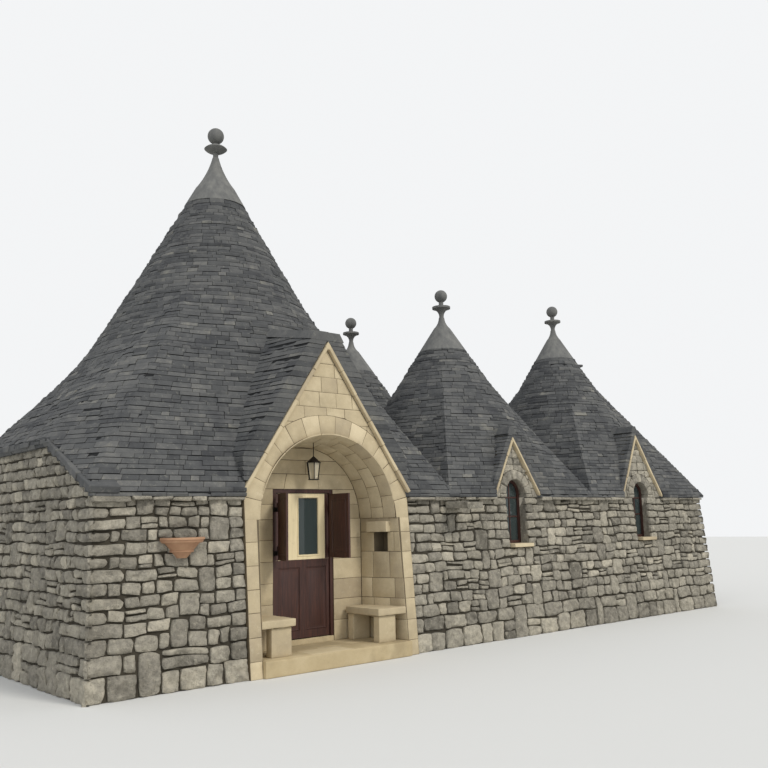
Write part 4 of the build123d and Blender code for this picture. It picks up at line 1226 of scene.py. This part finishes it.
def lay_vault():
    """The vault's blocks, row by row, and the arch stones at its mouth."""
    for number, (near, far) in enumerate(pairwise(VAULT_ROWS)):
        shift = 0.5 if number % 2 else 0.0
        turns = [math.pi * (i + shift) / VAULT_TURNS for i in range(VAULT_TURNS)]
        cuts = [0.0] + [turn for turn in turns if 0.1 < turn < math.pi - 0.1] + [math.pi]
        for a, b in pairwise(cuts):
            dressed(vault_surface, inset(a, b, 0.07), inset(near, far, 0.25), True)
    for a, b in pairwise([math.pi * number / RING_STONES for number in range(RING_STONES + 1)]):
        if ring_soffit((a + b) / 2, 0)[1] < VAULT_ROWS[0] - 0.03:
            dressed(vault_surface, inset(a, b, 0.07), spaced(0, 1, 0.04, 1), True, ring_soffit)
        dressed(ring_surface, inset(a, b, 0.05), spaced(0, 1, 0.03, 0.5), True, ring_face)


def apex_stone(piece, apex, slopes, reach, thickness):
    """The mitre stone between the two verges of a gable."""
    left, right = [
        (side * (thickness * slope / math.hypot(1, slope) + 0.004), thickness / math.hypot(1, slope))
        for side, slope in zip((-1, 1), slopes)
    ]
    rise = thickness * math.hypot(1, sum(slopes) / 2)
    shape = ((0.0, -0.02), right, (0.0, rise + 0.004), left)
    points = [front_point(apex[0] + x, apex[1] + z, out) for out in reach[::-1] for x, z in shape]
    piece.add(points, PRISM, 0.55)


def lay_verges(name, gable, foot, top, reach, thickness, sizes, bevel, replaces=()):
    """Slabs along both rakes of a gable and the stone at its apex, from a foot (inset, height) to a top."""
    verge = Piece()
    for side in (-1, 1):
        start = front_point(gable.centre + side * (gable.half - foot[0]), foot[1])
        end = front_point(gable.middle + side * 0.004, top)
        slab_strip(verge, start, end, (0, -1, FRONT_BATTER), reach, thickness, sizes, bevel, 0.003)
    slopes = gable.left_slope, gable.right_slope
    apex_stone(verge, (gable.middle, top), slopes, (reach[0], reach[1] + 0.001), thickness[1])
    verge.build(name, (ASHLAR,), "ashlar", replaces=replaces)


def lay_dressed_block(rows, uv):
    """One block of the porch gable's face."""
    dressed(facade_surface, (0.0, 0.02, 0.5, 0.98, 1.0), rows, uv=uv)


lay_jamb(-1)
lay_jamb(1)
DOOR_WALL_COURSES = (0.2, 0.47, 0.75, 1.02, 1.3, 1.58, 1.85, 2.05, DOORWAY_TOP)
for low, high in pairwise(DOOR_WALL_COURSES):
    for side in (-1, 1):
        us, vs = spaced(0, 1, 0.02, 0.3), inset(low, high, 0.1)
        dressed(door_wall_surface, us, vs, side < 0, beside_door(side))
CROWN_COURSES = (
    (DOORWAY_TOP, 2.46, (-1.0, -0.36, 0.3, 1.0)), (2.46, 2.65, (-1.0, 0.05, 1.0)),
    (2.65, ARCH_Z + door_wall_reach(ARCH_Z + 0.001) - 0.01, (-1.0, 1.0)),
)
for low, high, cuts in CROWN_COURSES:
    for a, b in pairwise(cuts):
        us, vs = spaced(a + 0.004, b - 0.004, 0.01, 0.2), inset(low, high, 0.06)
        dressed(door_wall_surface, us, vs, uv=over_door)
lay_vault()
GABLE_COURSES = (IMPOST, 2.1, 2.36, 2.61, 2.86, 3.1, 3.32, 3.53, 3.74, 3.93, 4.12)
for low, high in pairwise(GABLE_COURSES):
    if low < ARCH_Z + RING_MOUTH + RING - 0.02:
        left = lengths(0.0, PORCH_HALF, 0.28, 0.46)[:0:-1]
        cuts = [-c for c in left] + lengths(0.0, PORCH_HALF, 0.28, 0.46)
    else:
        cuts = [c - PORCH_HALF for c in lengths(0, 2 * PORCH_HALF, 0.26, 0.46)]
    lay_gable_course(lay_dressed_block, GABLE_FACE, low, high, cuts, (0.0, ARCH_Z), RING_MOUTH + RING + 0.004)
porch.build("porch_ashlar", (ASHLAR,), "ashlar")

lay_verges("porch_coping_stones", GABLE_FACE, foot=(0.01, 2.18), top=4.137, reach=(-0.3, 0.056),
           thickness=(0.0, 0.05), sizes=(0.34, 0.62), bevel=CUT, replaces=("porch_copings",))

flags = Piece()


def floor_surface(u, v, sink):
    """The porch floor's top, by a share of its half width and a depth."""
    half = JAMB_FRONT - SPLAY * max(v, 0) - 0.01
    return Vector((u * half, v, PORCH_FLOOR - sink))


FLAG_ROWS = (
    (-STEP_NOSE + 0.012, 0.35, (-1, -0.42, 0.16, 0.63, 1)),
    (0.35, ALCOVE - 0.004, (-1, -0.66, -0.1, 0.4, 1)),
)
for near, far, cuts in FLAG_ROWS:
    for a, b in pairwise(cuts):
        us, vs = inset(a, b, 0.12, 0.008), inset(near, far, 0.12, 0.008)
        stone_patch(flags, floor_surface, us, vs, face=-0.005, edge=0.003, depth=0.004, rough=0.003,
                    flip=False, tilt=0.001, grain=4.0)
flags.build("porch_flags", (PAVING,), "paving_stone")

# Each row: name, CAD node, look, slot, bevel, how rough, and the longest edge
WORN = (
    ("porch_step", "porch_floor", PAVING, "paving_stone", 0.014, 0.004, 0.15),
    ("door_sill_stone", "door_sill", PAVING, "paving_stone", 0.008, 0.004, 0.12),
    ("bench_tops", "bench_slabs", ASHLAR, "ashlar", 0.02, 0.006, 0.06),
    ("bench_supports", "bench_legs", ASHLAR, "ashlar", 0.014, 0.006, 0.06),
    ("niche_lintel_stone", "niche_lintel", ASHLAR, "ashlar", 0.012, 0.005, 0.06),
    ("window_sill_stones", "window_sills", ASHLAR, "ashlar", 0.008, 0.004, 0.06),
    ("spout_stone", "valley_spout", RUBBLE, "ashlar", 0.014, 0.006, 0.06),
)
for row in WORN:
    weathered(*row)


# Wall bowl: the band under its lip and the ring where its foot begins

BOWL_X, BOWL_Y = -2.19, 0.112
BOWL_TURNS = (math.radians(-195), math.radians(15))
BOWL_STEPS = 48
LIP_BAND = ((0.2, 1.605), (0.218, 1.603), (0.236, 1.609), (0.243, 1.618), (0.247, 1.632), (0.247, 1.642),
            (0.225, 1.645))
FOOT_RING = ((0.105, 1.5), (0.128, 1.499), (0.136, 1.505), (0.139, 1.513), (0.136, 1.521), (0.12, 1.523))


def swept_band(piece, profile):
    """A band round the front of the bowl, from an anticlockwise profile of (radius, height) points."""
    first, last = BOWL_TURNS
    count = len(profile)
    points, faces = [], []
    for i in range(BOWL_STEPS + 1):
        turn = first + (last - first) * i / BOWL_STEPS
        out = Vector((math.cos(turn), math.sin(turn), 0))
        points += [Vector((BOWL_X, BOWL_Y, z)) + out * radius for radius, z in profile]
    for i in range(BOWL_STEPS):
        for k in range(count):
            after = (k + 1) % count
            faces.append((i * count + k, (i + 1) * count + k, (i + 1) * count + after, i * count + after))
    faces.append(tuple(range(count)))
    faces.append(tuple(BOWL_STEPS * count + k for k in range(count))[::-1])
    piece.add(points, faces, 0.5)


bowl_bands = Piece()
swept_band(bowl_bands, LIP_BAND)
swept_band(bowl_bands, FOOT_RING)
bowl_bands.build("bowl_bands", (TERRACOTTA,), "terracotta", smooth=50)


# Window gables: their faces, arch stones, slab roofs and verges

WINDOW_RING = 0.15
WINDOW_RING_STONES = 7
ROUGH_SHARES = (0.0, 0.07, 0.36, 0.64, 0.93, 1.0)


def dress_window_gable(node, gable):
    """The stones of one window gable, from its arch up to its ridge."""
    face = Gable(gable.centre, gable.half, gable.foot, gable.apex)
    stones = Piece()
    backing(stones, node, (FRONT_PLANE,), JOINT_FACE)
    centre = (gable.centre, WINDOW_SPRING)

    def ring(turn, radius, sink):
        return front_point(centre[0] + math.cos(turn) * radius, centre[1] + math.sin(turn) * radius, -sink)

    def rough_block(rows, uv):
        stone_patch(stones, facade_surface, ROUGH_SHARES, rows, face=0.003, edge=0.012, depth=STONE_DEPTH,
                    rough=0.02, flip=False, warp=0.004, tilt=0.005, uv=uv, soft=0.03)

    def arch_stone(surface, us, low, high, flip, warp):
        vs = spaced(low, high, 0.014, 0.05)
        stone_patch(stones, surface, us, vs, face=0.001, edge=0.012, depth=STONE_DEPTH, rough=0.014,
                    flip=flip, warp=warp, soft=0.02)

    inner, outer = WINDOW_HALF + FINE, WINDOW_HALF + WINDOW_RING
    for i in range(WINDOW_RING_STONES):
        a, b = math.pi * i / WINDOW_RING_STONES + 0.014, math.pi * (i + 1) / WINDOW_RING_STONES - 0.014
        arch_stone(ring, spaced(a, b, 0.05, 0.14), inner, outer, True, 0.003)
    for side in (-1, 1):
        jamb = sorted((gable.centre + side * inner, gable.centre + side * outer))
        us = spaced(*jamb, 0.014, 0.05)
        arch_stone(facade_surface, us, EAVE + 0.004, WINDOW_SPRING - 0.004, False, 0.0)
    z = EAVE
    while z < gable.apex - 0.05:
        top = min(z + rng.uniform(0.11, 0.15), gable.apex - 0.01)
        cuts = lengths(0, gable.half, 0.16, 0.28)
        cuts = [gable.centre - c for c in cuts[:0:-1]] + [gable.centre + c for c in cuts]
        lay_gable_course(rough_block, face, z, top, cuts, centre, WINDOW_HALF + WINDOW_RING + 0.006, 0.03)
        z = top
    stones.build(node + "_stones", WALL_LOOKS, "limestone_wall", replaces=(node,), smooth=42)
    slabs = Piece()
    lay_gable_roof(slabs, gable, foot=EAVE, overlap=0.02, most_depth=0.13, cap_depth=0.11)
    slabs.build(node + "_slabs", (SLABS,), "roof_slabs", smooth=15)
    lay_verges(node + "_verge", face, foot=(0.004, EAVE + 0.01), top=gable.apex + 0.01, reach=(-0.16, 0.035),
               thickness=(-0.01, 0.026), sizes=(0.26, 0.5), bevel=0.005)


for node, gable in zip(("window_gable_middle", "window_gable_right"), WINDOW_GABLES):
    dress_window_gable(node, gable)


# Woodwork: mouldings and panels on the door, its shutters and the windows

DOOR_FRONT, DOOR_BACK = 0.83, 0.875
PANEL_RECESS = 0.01
LEAF_LEFT, LEAF_RIGHT = -0.445, 0.44
STILE = 0.1
LEAF_FOOT, RAIL, LEAF_TOP = 0.28, 1.31, 2.198
PANE_LEFT, PANE_RIGHT = -0.065, 0.265
PANE_MARGIN = 0.06
SHUTTER_FACE, SHUTTER_THICK = 0.78, 0.028
SHUTTER_WIDTH, SHUTTER_Z = 0.436, (1.32, 2.19)
SHUTTER_PIVOT_X, SHUTTER_PIVOT_Y = 0.45, 0.771
SHUTTER_TURNS = {"shutter_left": -110, "shutter_right": 90}
FIELD = ((0, 0), (0.004, 0.006), (0.012, 0.007), (0.018, 0.001), (0.03, 0.0), (0.062, 0.008))
BEAD = ((0, 0), (0.003, 0.007), (0.012, 0.008), (0.02, 0.002), (0.024, -0.014))
APPLIED = ((0, 0), (0.003, 0.005), (0.011, 0.005), (0.016, 0.0005), (0.026, 0.0005), (0.05, 0.005))
UPRIGHT = Matrix.Identity(3)


def moulding(piece, us, vs, profile, place, flip, filled):
    """A mitred frame with a profile of (distance in, height) points, and a panel within it."""
    points, faces = [], []
    for inward, height in profile:
        left, right, foot, head = us[0] + inward, us[1] - inward, vs[0] + inward, vs[1] - inward
        for u, v in ((left, foot), (right, foot), (right, head), (left, head)):
            points.append(place(u, v, height))
    for ring in range(len(profile) - 1):
        for i in range(4):
            j = (i + 1) % 4
            faces.append((ring * 4 + i, ring * 4 + j, ring * 4 + 4 + j, ring * 4 + 4 + i))
    if filled:
        last = (len(profile) - 1) * 4
        faces.append((last, last + 1, last + 2, last + 3))
    piece.add(points, [face[::-1] for face in faces] if flip else faces, 0.5)


def front_of(y):
    """Places mouldings on a face that looks out of the porch."""
    return lambda u, v, height: Vector((u, y - height, v))


def back_of(y):
    """Places mouldings on a face that looks into the room."""
    return lambda u, v, height: Vector((u, y + height, v))


leaf_panels = Piece()
leaf_middle, leaf_quarter = (LEAF_LEFT + LEAF_RIGHT) / 2, (LEAF_RIGHT - LEAF_LEFT) / 4
for side in (-1, 1):
    middle = leaf_middle + side * leaf_quarter
    us = (middle - leaf_quarter + STILE / 2, middle + leaf_quarter - STILE / 2)
    vs = (LEAF_FOOT + STILE, RAIL - STILE)
    moulding(leaf_panels, us, vs, FIELD, front_of(DOOR_FRONT + PANEL_RECESS), False, True)
    moulding(leaf_panels, us, vs, FIELD, back_of(DOOR_BACK - PANEL_RECESS), True, True)
leaf_panels.build("door_panels", (DARK_WOOD,), "dark_wood", "door")

sash_beads = Piece()
us = (PANE_LEFT - 0.02, PANE_RIGHT + 0.02)
vs = (RAIL + PANE_MARGIN - 0.02, LEAF_TOP - PANE_MARGIN + 0.02)
moulding(sash_beads, us, vs, BEAD, front_of(DOOR_FRONT), False, False)
moulding(sash_beads, us, vs, BEAD, back_of(DOOR_BACK), True, False)
sash_beads.build("sash_beads", (CREAM_WOOD,), "cream_wood", "door")

STILE_RUNS = ((LEAF_LEFT + 0.002, LEAF_LEFT + 0.052), (LEAF_RIGHT - 0.062, LEAF_RIGHT - 0.002))
STILE_FACES = ((DOOR_FRONT - 0.005, DOOR_FRONT + 0.001), (DOOR_BACK - 0.001, DOOR_BACK + 0.005))
leaf_stiles = Piece()
for left, right in STILE_RUNS:
    for front, back in STILE_FACES:
        low, high = (left, front, RAIL + 0.002), (right, back, LEAF_TOP - 0.002)
        block(leaf_stiles, Vector(), UPRIGHT, low, high, 0.002)
leaf_stiles.build("leaf_stiles", (DARK_WOOD,), "dark_wood", "door")

for side, (body, degrees) in zip((-1, 1), SHUTTER_TURNS.items()):
    pivot = Vector((side * SHUTTER_PIVOT_X, SHUTTER_PIVOT_Y, 0))
    turn = Matrix.Rotation(math.radians(degrees), 3, "Z")
    us = sorted((side * (SHUTTER_PIVOT_X - 0.06), side * (SHUTTER_PIVOT_X - SHUTTER_WIDTH + 0.055)))
    vs = (SHUTTER_Z[0] + 0.075, SHUTTER_Z[1] - 0.075)
    panels = Piece()
    moulding(panels, us, vs, APPLIED, front_of(SHUTTER_FACE), False, True)
    moulding(panels, us, vs, APPLIED, back_of(SHUTTER_FACE + SHUTTER_THICK), True, True)
    panels.points = [pivot + turn @ (point - pivot) for point in panels.points]
    panels.build(body + "_panels", (DARK_WOOD,), "dark_wood", body)

bars = Piece()
for x in WINDOWS:
    middle = Vector((x, WINDOW_BAR_Y, 0))
    foot, head = WINDOW_FOOT + 0.1, WINDOW_SPRING + WINDOW_LIGHT
    block(bars, middle, UPRIGHT, (-0.012, -0.016, foot), (0.012, 0.016, head), 0.004)
    for z in (WINDOW_FOOT + 0.48, WINDOW_SPRING - 0.06):
        low, high = (-WINDOW_LIGHT, -0.014, z - 0.012), (WINDOW_LIGHT, 0.014, z + 0.012)
        block(bars, middle, UPRIGHT, low, high, 0.004)
bars.build("window_bars", (DARK_WOOD,), "dark_wood")


# Looks of the CAD nodes that keep their own shape

KEPT = {
    # The roofs' cores carry the painted near-black shade of the gaps between slabs
    SHADED_ROOF_CORE: ("main_roof", "middle_roof", "back_roof", "right_roof", "porch_roof"),
    ROOM: ("cross_wall_main", "cross_wall_rooms"),
    ROOM_FLOOR: ("room_floors",),
    ASHLAR_JOINTS: ("porch_piers", "door_wall_sides", "porch_gable"),
    CAP: ("main_cap", "small_caps", "main_finial", "small_finials"),
    DARK_WOOD: ("door_leaf", "door_frame", "shutter_left", "shutter_right", "window_frames"),
    CREAM_WOOD: ("door_sash",),
    PANE: ("door_glass", "window_panes"),
    LANTERN_GLASS: ("lantern_glass",),
    IRON: ("lantern_iron", "shutter_pintles"),
    TERRACOTTA: ("wall_bowl",),
}
for look, names in KEPT.items():
    for name in names:
        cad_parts[name].data.materials.clear()
        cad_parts[name].data.materials.append(look)


# Camera, floor and light

CAMERA_PLACE = Vector((-6.931, -8.892, 1.788))
YAW, PITCH, ROLL = math.radians(41.05), math.radians(9.12), math.radians(-1.29)
SENSOR = 36.0
FOCAL_PIXELS, PICTURE = 858.9, 768

forward = Vector((math.sin(YAW) * math.cos(PITCH), math.cos(YAW) * math.cos(PITCH), math.sin(PITCH)))
level_right = Vector((math.cos(YAW), -math.sin(YAW), 0))
level_up = level_right.cross(forward)
right = math.cos(ROLL) * level_right + math.sin(ROLL) * level_up
up = -math.sin(ROLL) * level_right + math.cos(ROLL) * level_up
lens = bpy.data.cameras.new("camera")
lens.sensor_width = SENSOR
lens.lens = FOCAL_PIXELS / PICTURE * SENSOR
lens.clip_end = 200
camera = bpy.data.objects.new("camera", lens)
pose = Matrix((right, up, -forward)).transposed().to_4x4()
pose.translation = CAMERA_PLACE
camera.matrix_world = pose
bpy.context.scene.collection.objects.link(camera)
bpy.context.scene.camera = camera

floor_mesh = bpy.data.meshes.new("floor")
floor_mesh.from_pydata([(-60, -60, 0), (60, -60, 0), (60, 60, 0), (-60, 60, 0)], [], [(0, 1, 2, 3)])
floor = bpy.data.objects.new("floor", floor_mesh)
bpy.context.scene.collection.objects.link(floor)
_, finish_floor = material("floor")
floor_mesh.materials.append(finish_floor({"Base Color": rgba("d4d4d0"), "Roughness": 0.9}))
floor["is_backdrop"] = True

world = bpy.data.worlds.new("world")
world.use_nodes = True
bpy.context.scene.world = world
fill, add = node_tools(world.node_tree)
light = fill(world.node_tree.nodes["Background"], {"Color": (0.93, 0.95, 1.0, 1.0), "Strength": 0.75})
backdrop = add("ShaderNodeBackground", {"Color": (0.9, 0.91, 0.92, 1.0), "Strength": 1.0})
paths = add("ShaderNodeLightPath").outputs
seen = calculate(add, "MAXIMUM", paths["Is Camera Ray"], paths["Is Glossy Ray"])
clear = calculate(add, "MAXIMUM", seen, paths["Is Transmission Ray"])
blend = add("ShaderNodeMixShader", {"Fac": clear, 1: light.outputs[0], 2: backdrop.outputs[0]})
fill(world.node_tree.nodes["World Output"], {"Surface": blend.outputs[0]})


def sun(name, azimuth, elevation, strength, spread, colour):
    """A soft lamp from a direction: azimuth from +Y towards +X, as seen from above."""
    lamp = bpy.data.lights.new(name, "SUN")
    lamp.energy = strength
    lamp.angle = math.radians(spread)
    lamp.color = colour
    holder = bpy.data.objects.new(name, lamp)
    a, e = math.radians(azimuth), math.radians(elevation)
    toward = Vector((math.sin(a) * math.cos(e), math.cos(a) * math.cos(e), math.sin(e)))
    holder.rotation_euler = toward.to_track_quat("Z", "Y").to_euler()
    bpy.context.scene.collection.objects.link(holder)


sun("key", 165, 42, 1.7, 16, (1.0, 0.97, 0.92))
sun("fill", 250, 30, 0.5, 40, (0.92, 0.95, 1.0))

bpy.context.scene.view_settings.view_transform = "Standard"

low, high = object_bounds()
{"cad": [list(cad_low), list(cad_high)], "visual": [list(low), list(high)]}
